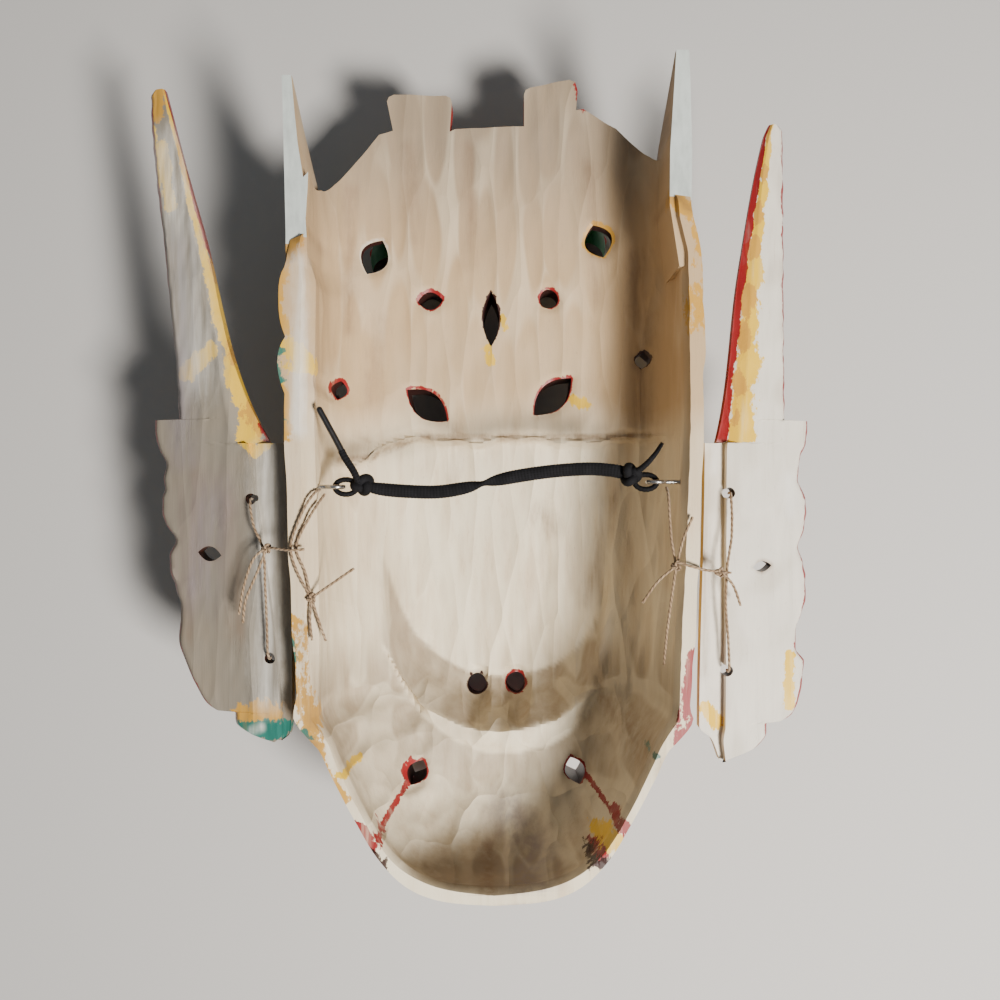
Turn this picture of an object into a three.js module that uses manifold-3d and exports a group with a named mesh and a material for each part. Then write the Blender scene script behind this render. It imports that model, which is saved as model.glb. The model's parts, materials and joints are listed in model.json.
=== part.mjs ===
// A garuda mask of carved and painted light wood, lying on its face with the hollow up.
// Millimetres. +Z up, towards the wearer's side. +Y towards the crown. +X to the right, as seen from behind.
// Everything is worked out about the mask's own middle line, and the whole group is then moved so that
// the origin is under the middle of its box, on the surface that it lies on.
import * as THREE from 'three';
import { mergeVertices } from 'three/addons/utils/BufferGeometryUtils.js';
import Module from 'manifold-3d';

const wasm = await Module();
wasm.setup();

// Driving sizes
const RIM_Z = 112; // height of the flat rear rim above the surface
const GAP = 0.35; // air between touching pieces

// Outer half-width of the rim, from the crown down to the chin: [y, half-width]
const HALF_WIDTH = [[214, 88], [146, 88.5], [128, 89.5], [112, 93.5], [36, 94.6], [-18, 92.8], [-63, 90.5],
  [-99, 88], [-109, 80.5], [-135, 68], [-164, 52], [-184, 42]];
// Depth of the outer face and of the hollow's floor below the rim, on the middle line: [y, depth]
const OUTER_DEPTH = [[230, 65], [186, 66], [120, 74], [70, 80], [40, 84], [0, 88], [-50, 90], [-95, 88],
  [-120, 83], [-150, 71], [-170, 57], [-184, 44]];
const HOLLOW_DEPTH = [[236, 50], [186, 52], [120, 60], [70, 64], [32, 66], [0, 69], [-40, 70], [-80, 69],
  [-100, 66], [-125, 60], [-140, 58], [-152, 53], [-165, 44], [-178, 28]];
const SHELL = { top: 214, knee: -146, end: -181, endPower: 3.6, sectionPower: 3.1, endDepth: 0.55 };
const HOLLOW = { top: 232, knee: -140, end: -174.5, endPower: 3.6, endDepth: 0.45 };
// How boxy the hollow's section is, and its walls' thickness and bevels at the rim: [y, value]
const HOLLOW_POWER = [[-150, 2.5], [-60, 3], [30, 4.6], [214, 4.6]];
const WALL_LEFT = [[-184, 5], [-120, 6], [-60, 11], [-20, 12.5], [100, 12.5], [124, 4.2], [214, 4.2]];
const WALL_RIGHT = [[-184, 5], [-120, 6], [-60, 8], [214, 8]];
const BEVEL_LEFT = [[-184, 1.5], [-110, 1.5], [-50, 5.5], [100, 5.5], [124, 0], [214, 0]];
const BEVEL = { right: 2, depth: 6 };
const LEDGE = { y: 31, drop: 7, leftDip: 14, leftFrom: 45, leftReach: 35, blend: 6 };
const BOWL = { x: 3, y: -46, rx: 57, ryUp: 62, ryDown: 47, depth: 17, floor: 0.62, edge: 1.06 };
const MOUND = { x: 2, y: -60, rx: 78, ry: 70, height: 14, flat: 0.45, edge: 1.1 };
const CRESCENT = { x: 2, low: -126, rise: 40, reach: 54, width: 11, height: 4.5 };

const KEEL = 1.6; // how far the chin's end comes to a soft point
const GRID = { across: 20, along: 23 };

// Tables and small maths
const clamp = (value, low, high) => Math.min(high, Math.max(low, value));

function smoothstep(low, high, value) {
  const t = clamp((value - low) / (high - low), 0, 1);
  return t * t * (3 - 2 * t);
}

// The value of a [place, value] table between its stations, on straight lines.
function along(table, place) {
  const rising = table[0][0] < table[table.length - 1][0];
  const rows = rising ? table : [...table].reverse();
  if (place <= rows[0][0]) return rows[0][1];
  for (let i = 1; i < rows.length; i += 1) {
    if (place <= rows[i][0]) {
      const t = (place - rows[i - 1][0]) / (rows[i][0] - rows[i - 1][0]);
      return rows[i - 1][1] + t * (rows[i][1] - rows[i - 1][1]);
    }
  }
  return rows[rows.length - 1][1];
}

// Points spread at equal steps along a polyline, as many as count + 1.
function evenly(points, count) {
  const lengths = [0];
  for (let i = 1; i < points.length; i += 1) {
    lengths.push(lengths[i - 1] + Math.hypot(...points[i].map((v, k) => v - points[i - 1][k])));
  }
  const total = lengths[lengths.length - 1];
  const spread = [];
  for (let n = 0, i = 1; n <= count; n += 1) {
    const target = (total * n) / count;
    while (i < lengths.length - 1 && lengths[i] < target) i += 1;
    const t = clamp((target - lengths[i - 1]) / (lengths[i] - lengths[i - 1]), 0, 1);
    spread.push(points[i].map((v, k) => points[i - 1][k] + t * (v - points[i - 1][k])));
  }
  return spread;
}

// Unit section of a hollow: [share of half-width from -1 to 1, share of depth], a superellipse arc.
function unitSection(power, count) {
  const fine = [];
  for (let i = 0; i <= 400; i += 1) {
    const angle = ((i / 400) * 2 - 1) * (Math.PI / 2);
    const across = Math.sign(angle) * Math.abs(Math.sin(angle)) ** (2 / power);
    fine.push([across, Math.abs(Math.cos(angle)) ** (2 / power)]);
  }
  return evenly(fine, count);
}

// Rows from the crown to the chin: [y, share of the width left], closing in a superelliptic end.
function rowsOf({ top, knee, end, endPower }, count) {
  const reach = knee - end;
  const fine = [];
  for (let i = 0; i <= 60; i += 1) fine.push([top + ((knee - top) * i) / 60, 1]);
  for (let i = 1; i <= 200; i += 1) {
    const angle = (i / 200) * (Math.PI / 2);
    const width = i < 200 ? Math.cos(angle) ** (2 / endPower) : 0;
    fine.push([knee - reach * Math.sin(angle) ** (2 / endPower) - KEEL * (1 - width), width]);
  }
  return evenly(fine.map(([y, e]) => [y, e * 45]), count).map(([y, e]) => [y, e / 45]);
}

// Depths of the two faces
function outerDepth(x, y, e) {
  const away = Math.hypot((x - MOUND.x) / MOUND.rx, (y - MOUND.y) / MOUND.ry);
  const mound = MOUND.height * (1 - smoothstep(MOUND.flat, MOUND.edge, away));
  return (along(OUTER_DEPTH, y) + mound) * (SHELL.endDepth + (1 - SHELL.endDepth) * e);
}

function hollowDepth(x, y, e) {
  const ledgeY = LEDGE.y - LEDGE.leftDip * smoothstep(0, LEDGE.leftReach, -x - LEDGE.leftFrom);
  const ledge = LEDGE.drop * smoothstep(0, LEDGE.blend, ledgeY - y) * smoothstep(-130, -95, y);
  const ry = y > BOWL.y ? BOWL.ryUp : BOWL.ryDown;
  const away = Math.hypot((x - BOWL.x) / BOWL.rx, (y - BOWL.y) / ry);
  const bowl = BOWL.depth * (1 - smoothstep(BOWL.floor, BOWL.edge, away));
  const side = (x - CRESCENT.x) / CRESCENT.reach;
  const crestY = CRESCENT.low + CRESCENT.rise * side * side;
  const across = (y - crestY) / (CRESCENT.width * Math.max(0.15, 1 - side * side));
  const crest = Math.abs(side) < 1 ? CRESCENT.height * Math.max(0, 1 - Math.abs(across - 0.6)) : 0;
  return (along(HOLLOW_DEPTH, y) + ledge + bowl - crest) * (HOLLOW.endDepth + (1 - HOLLOW.endDepth) * e);
}

// Height of the outer face without its carving.
function faceZ(x, y) {
  const share = clamp(Math.abs(x) / along(HALF_WIDTH, y), 0, 1);
  return RIM_Z - outerDepth(x, y, 1) * (1 - share ** SHELL.sectionPower) ** (1 / SHELL.sectionPower);
}

// Solids
function toSolid(geometry) {
  const bare = geometry.clone();
  bare.deleteAttribute('normal');
  bare.deleteAttribute('uv');
  const merged = mergeVertices(bare, 1e-4);
  return new wasm.Manifold(new wasm.Mesh({
    numProp: 3,
    vertProperties: new Float32Array(merged.attributes.position.array),
    triVerts: new Uint32Array(merged.index.array),
  }));
}

function toGeometry(solid) {
  const mesh = solid.getMesh();
  const geometry = new THREE.BufferGeometry();
  geometry.setAttribute('position', new THREE.BufferAttribute(new Float32Array(mesh.vertProperties), 3));
  geometry.setIndex(withoutSlivers(mesh));
  geometry.computeVertexNormals();
  return geometry;
}

// The triangles of a mesh without the slivers that cuts leave: a short edge is closed up, and a flat
// triangle's long edge is turned across its neighbour.
const SLIVER = { edge: 0.06, height: 0.02, rounds: 6 };

function withoutSlivers({ vertProperties, triVerts }) {
  const at = (i) => new THREE.Vector3().fromArray(vertProperties, i * 3);
  let faces = [];
  for (let i = 0; i < triVerts.length; i += 3) faces.push([...triVerts.slice(i, i + 3)]);
  for (let round = 0; round < SLIVER.rounds; round += 1) {
    const touching = new Map();
    faces.forEach((face, index) => face.forEach((v) => {
      if (!touching.has(v)) touching.set(v, []);
      touching.get(v).push(index);
    }));
    const busy = new Set();
    const around = (v) => touching.get(v);
    faces.forEach((face, index) => {
      if (!face || busy.has(index)) return;
      const corners = face.map(at);
      const sides = [0, 1, 2].map((k) => corners[k].distanceTo(corners[(k + 1) % 3]));
      const area = new THREE.Triangle(...corners).getArea();
      const longest = sides.indexOf(Math.max(...sides));
      const shortest = sides.indexOf(Math.min(...sides));
      const flat = (2 * area) / sides[longest] < SLIVER.height;
      if (sides[shortest] >= SLIVER.edge && !flat) return;
      if (sides[shortest] < SLIVER.edge) {
        const [keep, drop] = [face[shortest], face[(shortest + 1) % 3]];
        const near = [...around(keep), ...around(drop)];
        const ringOf = (v) => new Set(around(v).flatMap((i) => faces[i]).filter((w) => w !== v));
        const shared = [...ringOf(keep)].filter((w) => ringOf(drop).has(w));
        if (shared.length !== 2 || near.some((i) => busy.has(i))) return;
        near.forEach((i) => busy.add(i));
        around(drop).forEach((i) => { faces[i] = faces[i].map((v) => (v === drop ? keep : v)); });
        return;
      }
      const [a, b, c] = [face[longest], face[(longest + 1) % 3], face[(longest + 2) % 3]];
      const other = around(a).find((i) => i !== index && faces[i].includes(b));
      const d = faces[other].find((v) => v !== a && v !== b);
      const near = [...around(a), ...around(b), ...around(c), ...around(d)];
      if (near.some((i) => busy.has(i)) || around(c).some((i) => faces[i].includes(d))) return;
      near.forEach((i) => busy.add(i));
      faces[index] = [a, d, c];
      faces[other] = [d, b, c];
    });
    faces = faces.filter((face) => new Set(face).size === 3);
  }
  return faces.flat();
}

// A closed body through rings of equal point count, with flat ends. Rings turn anticlockwise about the way they run.
function loft(rings) {
  const size = rings[0].length;
  const points = rings.flat();
  const faces = [];
  for (let i = 0; i + 1 < rings.length; i += 1) {
    for (let j = 0; j < size; j += 1) {
      const a = i * size + j;
      const b = i * size + ((j + 1) % size);
      faces.push([a, b, b + size], [a, b + size, a + size]);
    }
  }
  const capStart = (rings.length - 1) * size;
  const middleOf = (ring) => ring.reduce((sum, p) => sum.map((v, k) => v + p[k] / size), [0, 0, 0]);
  points.push(middleOf(rings[0]), middleOf(rings[rings.length - 1]));
  const first = points.length - 2;
  for (let j = 0; j < size; j += 1) {
    const next = (j + 1) % size;
    faces.push([first, next, j], [first + 1, capStart + j, capStart + next]);
  }
  const positions = faces.flat().flatMap((index) => points[index]);
  const geometry = new THREE.BufferGeometry();
  geometry.setAttribute('position', new THREE.Float32BufferAttribute(positions, 3));
  return geometry;
}

function solidLoft(rings) {
  const solid = toSolid(loft(rings));
  return solid.volume() > 0 ? solid : toSolid(loft(rings.map((ring) => [...ring].reverse())));
}

// A round or flattened bar along a curve: radius and height are functions of the share of its length.
function bar(points, radius, height, steps, { sides = 6, across = null } = {}) {
  const curve = new THREE.CatmullRomCurve3(points.map((p) => new THREE.Vector3(...p)));
  const up = new THREE.Vector3(0, 0, 1);
  const rings = [];
  for (let i = 0; i <= steps; i += 1) {
    const t = i / steps;
    const place = curve.getPoint(t);
    const ahead = curve.getTangent(t);
    const side = across ? new THREE.Vector3(...across) : new THREE.Vector3().crossVectors(ahead, up).normalize();
    const top = new THREE.Vector3().crossVectors(side, ahead);
    const ring = [];
    for (let j = 0; j < sides; j += 1) {
      const angle = (j / sides) * Math.PI * 2;
      ring.push(place.clone().addScaledVector(side, Math.cos(angle) * radius(t))
        .addScaledVector(top, Math.sin(angle) * height(t)).toArray());
    }
    rings.push(ring);
  }
  return solidLoft(rings);
}

function ellipsoid([x, y, z], [rx, ry, rz], around = 9, rows = 5) {
  return toSolid(new THREE.SphereGeometry(1, around, rows).scale(rx, ry, rz).translate(x, y, z));
}

function prism(shape, low, high, segments = 6) {
  const geometry = new THREE.ExtrudeGeometry(shape, { depth: high - low, bevelEnabled: false, curveSegments: segments });
  return toSolid(geometry.translate(0, 0, low));
}

function roundHole(x, y, radius, low, high) {
  const shape = new THREE.Shape().absarc(x, y, radius, 0, Math.PI * 2, false);
  return prism(shape, low, high, 8);
}

// A hole of two arcs that meet in points.
function lensHole(x, y, length, width, turn, low, high) {
  const ends = [Math.cos(turn) * length * 0.5, Math.sin(turn) * length * 0.5];
  const bulge = [-Math.sin(turn) * width, Math.cos(turn) * width];
  const shape = new THREE.Shape();
  shape.moveTo(x - ends[0], y - ends[1]);
  shape.quadraticCurveTo(x - bulge[0], y - bulge[1], x + ends[0], y + ends[1]);
  shape.quadraticCurveTo(x + bulge[0], y + bulge[1], x - ends[0], y - ends[1]);
  return prism(shape, low, high, 4);
}

// The mask's outer form, with a flat lid at the rim.
function outerForm() {
  const section = unitSection(SHELL.sectionPower, GRID.across);
  const rings = rowsOf(SHELL, GRID.along).map(([y, e]) => {
    const half = along(HALF_WIDTH, y) * e;
    return section.map(([across, down]) => {
      const x = half * across;
      return [x, y, RIM_Z - outerDepth(x, y, e) * down];
    });
  });
  return closeRows(rings);
}

// The hollow, with its bevelled mouth carried a little above the rim.
function hollowForm() {
  const rings = rowsOf(HOLLOW, GRID.along).map(([y, e]) => {
    const half = along(HALF_WIDTH, y);
    const [left, right] = [along(WALL_LEFT, y), along(WALL_RIGHT, y)];
    const mouth = (bevel, wall) => (half - wall + 2 * bevel * (0.5 + 0.5 * e)) * e;
    const mouthY = y - (1 - e) * BEVEL.right * 2;
    const lip = RIM_Z - BEVEL.depth;
    const ring = unitSection(along(HOLLOW_POWER, y), GRID.across).map(([across, down]) => {
      const x = (half - (across < 0 ? left : right)) * e * across;
      const depth = hollowDepth(x, y, e);
      return [x, y, lip - (depth - BEVEL.depth) * down];
    });
    ring.unshift([-mouth(along(BEVEL_LEFT, y), left), mouthY, RIM_Z + BEVEL.depth]);
    ring.push([mouth(BEVEL.right, right), mouthY, RIM_Z + BEVEL.depth]);
    return ring;
  });
  return closeRows(rings);
}

// Closes rows of points that run from side to side: a lid over the top, a cap at the first row, a seam at the last.
function closeRows(rings) {
  const size = rings[0].length;
  const points = rings.flat();
  const faces = [];
  for (let i = 0; i + 1 < rings.length; i += 1) {
    for (let j = 0; j < size; j += 1) {
      const a = i * size + j;
      const b = i * size + ((j + 1) % size);
      faces.push([a, b, b + size], [a, b + size, a + size]);
    }
  }
  for (let j = 1; j + 1 < size; j += 1) faces.push([0, j + 1, j]);
  const kept = faces.filter((face) => {
    const [a, b, c] = face.map((index) => points[index].map((v) => v.toFixed(4)).join());
    return a !== b && b !== c && c !== a;
  });
  const geometry = new THREE.BufferGeometry();
  geometry.setAttribute('position', new THREE.Float32BufferAttribute(kept.flat().flatMap((i) => points[i]), 3));
  const solid = toSolid(geometry);
  if (solid.volume() > 0) return solid;
  geometry.setAttribute('position',
    new THREE.Float32BufferAttribute(kept.flatMap(([a, b, c]) => [a, c, b]).flatMap((i) => points[i]), 3));
  return toSolid(geometry);
}

// What is cut away above the crown: all that lies beyond its outline of two notches and two finials.
function crownCut() {
  const outline = [[-100, 133], [-84.8, 148], [-74.5, 161.5], [-57.9, 183], [-51, 185.3], [-53.9, 199.5], [-50.5, 203],
    [-24.5, 203], [-21.5, 199.5], [-22.6, 185.3], [-20, 186.5], [14.8, 188], [14.8, 203.5], [17.9, 207],
    [37.5, 210.6], [41.6, 205], [40.8, 195.5], [44.6, 196], [60.8, 185.5], [78.5, 166], [100, 142]];
  const shape = new THREE.Shape();
  shape.moveTo(-130, 133);
  outline.forEach(([x, y]) => shape.lineTo(x, y));
  shape.lineTo(130, 142);
  shape.lineTo(130, 260);
  shape.lineTo(-130, 260);
  return prism(shape, -20, RIM_Z + 20);
}

// A corner horn: the side wall carried up into a point. Stations run up it: [y, inner edge, outer edge, front height].
const HORN_REAR = RIM_Z - 3;
const HORN_BEVEL = 2;
const LEFT_HORN = [[104, -84.4, -94.4, 46], [121, -85, -94.4, 50], [147, -86.6, -95, 56], [162, -89, -95.4, 69],
  [176, -90.4, -95.7, 86], [192.6, -91.9, -96.2, 104]];
const RIGHT_HORN = [[106, 84, 92.8, 46], [134, 79.6, 89.4, 50], [158, 79.8, 89.8, 56], [174, 80.8, 89.4, 68],
  [190, 81.8, 89, 87], [204, 82.6, 88.4, 104]];

function horn(stations) {
  return solidLoft(stations.map(([y, inner, outer, front]) => [
    [inner, y, HORN_REAR], [outer, y, HORN_REAR], [outer, y, (HORN_REAR + front) / 2],
    [(inner + 2 * outer) / 3, y, front], [inner, y, front + HORN_BEVEL],
  ]));
}

// Where the rim steps down to the horns' rear faces, with a slanted wall: outlines at its foot and its top.
const SHOULDERS = [
  { foot: [[-103, 115.2], [-94.1, 117], [-85.5, 121], [-78, 122], [-78, 260], [-103, 260]],
    top: [[-103, 104.6], [-91.4, 105.8], [-85.5, 119.6], [-78, 121], [-78, 260], [-103, 260]] },
  { foot: [[73, 139.6], [79.2, 138.8], [88.2, 137.5], [103, 135.5], [103, 260], [73, 260]],
    top: [[73, 138.5], [80, 136.5], [89.1, 129.6], [103, 122], [103, 260], [73, 260]] },
];

function shoulderCut({ foot, top }) {
  return solidLoft([foot.map(([x, y]) => [x, y, HORN_REAR]), top.map(([x, y]) => [x, y, RIM_Z + GAP])]);
}

// Carving of the front. Every form is set on the outer face and lapped into it.
function beak() {
  // Stations down the beak: [y, crest height, half-width, base height]
  const stations = [[44, 30, 9, 46], [30, 17, 14, 42], [8, 8, 20, 36], [-20, 3, 25, 34], [-48, 0.6, 27, 34],
    [-70, 0, 26, 34], [-88, 0, 23, 36], [-100, 4, 18, 40], [-110, 13, 10, 44]];
  const arch = [[-1, 0], [-0.86, 0.45], [-0.5, 0.82], [-0.16, 1], [0.16, 1], [0.5, 0.82], [0.86, 0.45], [1, 0]];
  return solidLoft(stations.map(([y, crest, half, base]) => arch.map(([across, up]) => (
    [2 + across * half, y, base + (crest - base) * up]
  ))));
}

function mirrored(make) {
  return [make(-1), make(1)];
}

function arc(points, lift) {
  return points.map(([x, y]) => [x, y, faceZ(x, y) - lift]);
}

// Sizes of the front's carving. Places are [x, y] on the face, and lift is how far a form sinks into it.
const EYEBALL = { x: 34, y: 50, shift: -2, sink: 8, size: [23, 21, 22] };
const BROW = { route: [[7, 50], [22, 69], [44, 75], [68, 62], [84, 44]], lift: 3, wide: 6.5, tall: 9 };
const CHEEK = { x: 62, y: -34, sink: 8, size: [24, 36, 20] };
const NOSTRIL = { x: 19, y: -92, z: 20, shift: 2, size: [13, 17, 15] };
const MOUTH = { reach: 66, upperLow: -124, upperHigh: -92, lowerLow: -158, lowerHigh: -108 };
const LIP = { radius: 5, upper: { tall: 8, lift: 3 }, lower: { tall: 7, lift: 2 } };
const TEETH = { places: [-3, -2, -1, 1, 2, 3], pitch: 9.6, pull: 2, drop: 9, sink: 1, size: [8, 13, 12] };
const TUSK = { route: [[52, -118, 1], [57, -108, 9], [60, -92, 12]], root: 6, taper: 4.5 };
const TONGUE = { y: -141, sink: 2, size: [15, 17, 9] };
const CHIN = { y: -166, sink: 10, size: [30, 13, 14] };
const DIADEM = { route: [[-88, 66], [-60, 78], [-30, 83], [0, 85], [30, 83], [60, 79], [88, 68]], lift: 1, wide: 4.5,
  tall: 7 };
const BIRD = { head: { at: [-2, 108], sink: 7, size: [44, 30, 18] }, bill: { at: [-2, 94], sink: -6, size: [12, 24, 18] } };
const COBRAS = [[-61, 124, -1], [53, 131, 1]];
const LOBES = { x: 92.5, z: RIM_Z - 22, wide: 5, tall: 18, places: [[96, 15], [74, 13], [52, 14]] };
const COIL = { radius: 17, steps: 9, start: 0.15, turn: 1.75, lift: 2, wide: 5.5, tall: 7 };
const NECK = { foot: 19, back: 27, radius: 8.5, taper: 2, hood: [19, 6], headSize: [10, 14, 10], headZ: 9 };

function frontCarving() {
  const onFace = (x, y, sink) => [x, y, faceZ(x, y) + sink];
  const forms = [beak()];
  // Eyes, brows, cheeks, nostril wings
  forms.push(...mirrored((side) => ellipsoid([side * EYEBALL.x + EYEBALL.shift, EYEBALL.y,
    faceZ(EYEBALL.x, EYEBALL.y) + EYEBALL.sink], EYEBALL.size, 11, 6)));
  forms.push(...mirrored((side) => bar(arc(BROW.route.map(([x, y]) => [side * x, y]), BROW.lift),
    (t) => BROW.wide - 3 * t, (t) => BROW.tall - 4 * t, 12)));
  forms.push(...mirrored((side) => ellipsoid(onFace(side * CHEEK.x, CHEEK.y, CHEEK.sink), CHEEK.size)));
  forms.push(...mirrored((side) => ellipsoid([NOSTRIL.shift + side * NOSTRIL.x, NOSTRIL.y, NOSTRIL.z], NOSTRIL.size)));
  // Lips, teeth, tusks, tongue, chin
  const curveOf = (low, high) => [-1, -0.66, -0.33, 0, 0.33, 0.66, 1].map((t) => (
    [t * MOUTH.reach, low + (high - low) * t * t]
  ));
  const lip = (low, high, { tall, lift }) => bar(arc(curveOf(low, high), lift), () => LIP.radius, () => tall, 9);
  forms.push(lip(MOUTH.upperLow, MOUTH.upperHigh, LIP.upper), lip(MOUTH.lowerLow, MOUTH.lowerHigh, LIP.lower));
  TEETH.places.forEach((place) => {
    const x = place * TEETH.pitch - Math.sign(place) * TEETH.pull;
    const t = x / MOUTH.reach;
    const y = MOUTH.upperLow + (MOUTH.upperHigh - MOUTH.upperLow) * t * t - TEETH.drop;
    forms.push(toSolid(new THREE.BoxGeometry(...TEETH.size).translate(...onFace(x, y, TEETH.sink))));
  });
  const tusk = (t) => TUSK.root - TUSK.taper * t;
  forms.push(...mirrored((side) => bar(TUSK.route.map(([x, y, lift]) => onFace(side * x, y, -lift)), tusk, tusk, 6)));
  forms.push(ellipsoid(onFace(0, TONGUE.y, TONGUE.sink), TONGUE.size));
  forms.push(ellipsoid(onFace(0, CHIN.y, CHIN.sink), CHIN.size));
  // Diadem, and the small bird's face above it with its bill
  forms.push(bar(arc(DIADEM.route, DIADEM.lift), () => DIADEM.wide, () => DIADEM.tall, 12));
  forms.push(ellipsoid([...BIRD.head.at, faceZ(0, BIRD.head.at[1]) + BIRD.head.sink], BIRD.head.size, 11, 6));
  forms.push(ellipsoid([...BIRD.bill.at, faceZ(0, BIRD.bill.at[1]) + BIRD.bill.sink], BIRD.bill.size));
  // Cobras: a coil round each upper hole, a neck that rears up, a hood and a head
  COBRAS.forEach(([x, y, side]) => forms.push(...cobra(x, y, side)));
  // Carved lobes down the side walls above the panels
  LOBES.places.forEach(([y, length]) => {
    forms.push(...mirrored((side) => ellipsoid([side * LOBES.x, y, LOBES.z], [LOBES.wide, length, LOBES.tall], 8, 4)));
  });
  return forms;
}

function cobra(x, y, side) {
  const ring = [];
  for (let i = 0; i <= COIL.steps; i += 1) {
    const angle = Math.PI * (0.5 + side * (COIL.start + (i / COIL.steps) * COIL.turn));
    ring.push([x + Math.cos(angle) * COIL.radius, y + Math.sin(angle) * COIL.radius]);
  }
  const headX = x * 0.96;
  const back = y + NECK.back;
  const base = faceZ(x, y + 20);
  const coil = bar(arc(ring, COIL.lift), () => COIL.wide, () => COIL.tall, 10);
  const thick = (t) => NECK.radius - NECK.taper * t;
  const neck = bar([[x, y + NECK.foot, base + 4], [headX, back, base - 12], [headX, back, 18], [headX, y + 20, 10],
    [headX, y + 8, 8]], thick, thick, 9, { across: [1, 0, 0] });
  const hood = ellipsoid([headX, back, (base + 22) / 2], [...NECK.hood, (base - 8) / 2 + 4]);
  return [coil, neck, hood, flatHead(headX, y + NECK.headZ)];
}

// A cobra's head, flat beneath where the mask rests on it.
function flatHead(x, y) {
  const form = ellipsoid([x, y, NECK.headZ], NECK.headSize);
  return form.subtract(toSolid(new THREE.BoxGeometry(60, 60, 20).translate(x, y, -10)));
}

// Through holes, in pairs as they are carved: [x, y, ...]
function carvedHoles() {
  const low = -20;
  const high = RIM_Z + 20;
  return [
    lensHole(-61, 123.4, 19, 13.5, 1.15, low, high), lensHole(52.7, 131.6, 17, 14, 1.9, low, high),
    lensHole(-33, 102, 13, 9, 0.1, low, high), roundHole(27.7, 103, 4.8, low, high),
    lensHole(-1.9, 93, 28, 8.5, Math.PI / 2, low, high),
    lensHole(-77.7, 55, 9.5, 6.5, 1.4, low, high), lensHole(74.9, 70.7, 8, 7, 1.5, low, high),
    lensHole(-34.8, 48.8, 26, 14, -0.66, low, high), lensHole(29.9, 53.4, 27, 14, 0.78, low, high),
    roundHole(-9.6, -99.6, 5.2, low, high), roundHole(11.2, -99, 5.2, low, high),
    lensHole(-39.1, -137.5, 12.5, 10, 1.1, low, high), lensHole(40.4, -136, 12.5, 10, 1.9, low, high),
  ];
}

// Small bores for the screw eyes' shanks, along X into the walls.
function wallBore(side, x, y, z, radius, length) {
  const tube = new THREE.CylinderGeometry(radius, radius, length, 10).rotateZ(Math.PI / 2);
  return toSolid(tube.translate(x + (side * length) / 2, y, z));
}

// Screw eyes: where each ring stands, and the wire
const EYE = { ring: 3.9, wire: 1.1, shank: 1.1, bite: 4.5 };
const LEFT_EYE = { side: -1, x: -73, y: 6, z: RIM_Z - 11, wall: -82 };
const RIGHT_EYE = { side: 1, x: 74.6, y: 8.3, z: RIM_Z - 11, wall: 86.2 };

function screwEye({ side, x, y, z, wall }) {
  const ring = toSolid(new THREE.TorusGeometry(EYE.ring, EYE.wire, 6, 12).rotateX(Math.PI / 2).translate(x, y, z));
  const reach = Math.abs(wall - x) - EYE.ring + EYE.bite;
  const shank = new THREE.CylinderGeometry(EYE.shank, EYE.shank, reach, 8).rotateZ(Math.PI / 2);
  return ring.add(toSolid(shank.translate(x + side * (EYE.ring + reach / 2), y, z)));
}

function maskBody() {
  let body = outerForm().subtract(crownCut());
  [horn(LEFT_HORN), horn(RIGHT_HORN), ...frontCarving()].forEach((form) => { body = body.add(form); });
  SHOULDERS.forEach((shoulder) => { body = body.subtract(shoulderCut(shoulder)); });
  body = body.subtract(toSolid(new THREE.BoxGeometry(600, 600, 40).translate(0, 0, -20)));
  body = body.subtract(hollowForm().subtract(hornRoom()));
  carvedHoles().forEach((hole) => { body = body.subtract(hole); });
  [LEFT_EYE, RIGHT_EYE].forEach(({ side, wall, y, z }) => {
    body = body.subtract(wallBore(side, wall - side * 2, y, z, EYE.shank + 0.12 + GAP, EYE.bite + 2 + GAP));
  });
  return body;
}

// Room that the hollow leaves for the horns beyond the crown's outline.
function hornRoom() {
  return horn(LEFT_HORN).add(horn(RIGHT_HORN));
}

// Side panels. Stations from the foot to the tip: [y, distance of an edge from the middle line].
const PANEL = { thick: 11, tipThick: 5, hinge: 97, hingeDrop: 9, tilt: THREE.MathUtils.degToRad(15), rebate: 4.5,
  twineHole: 2.6 };
const LEFT_PANEL = {
  side: -1,
  outer: [[-111.5, 104], [-109, 114], [-104.4, 121], [-98.7, 122], [-98.5, 131.8], [-92.6, 138.6], [-76, 147.2],
    [-66, 150.5], [-52, 149.6], [-42, 152], [-33.3, 155], [-27, 155.5], [-19, 152.2], [-11, 157.5], [-4.8, 159.3],
    [1, 159], [4.8, 157.9], [10, 158.4], [16.7, 157], [25, 161], [33.4, 163.1], [38, 163.1], [38.2, 150.7],
    [109.6, 156.9], [193, 165.2], [195.6, 163.5]],
  inner: [[-111.5, 98.5], [-108, 94.6], [-92, 93.4], [26.4, 96.8], [26.6, 104.8], [132.6, 139.3], [195.6, 157]],
  step: [[-111.5, 101], [-108, 97.6], [-92, 98.7], [23, 114.6], [26.4, 115.4], [26.6, 121], [80, 131],
    [132.6, 143.5], [195.6, 158]],
  lens: [133.5, -25.2, 12, 7, 0.12],
  twineHoles: [[112.8, 0.5], [103.5, -73]],
};
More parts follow.
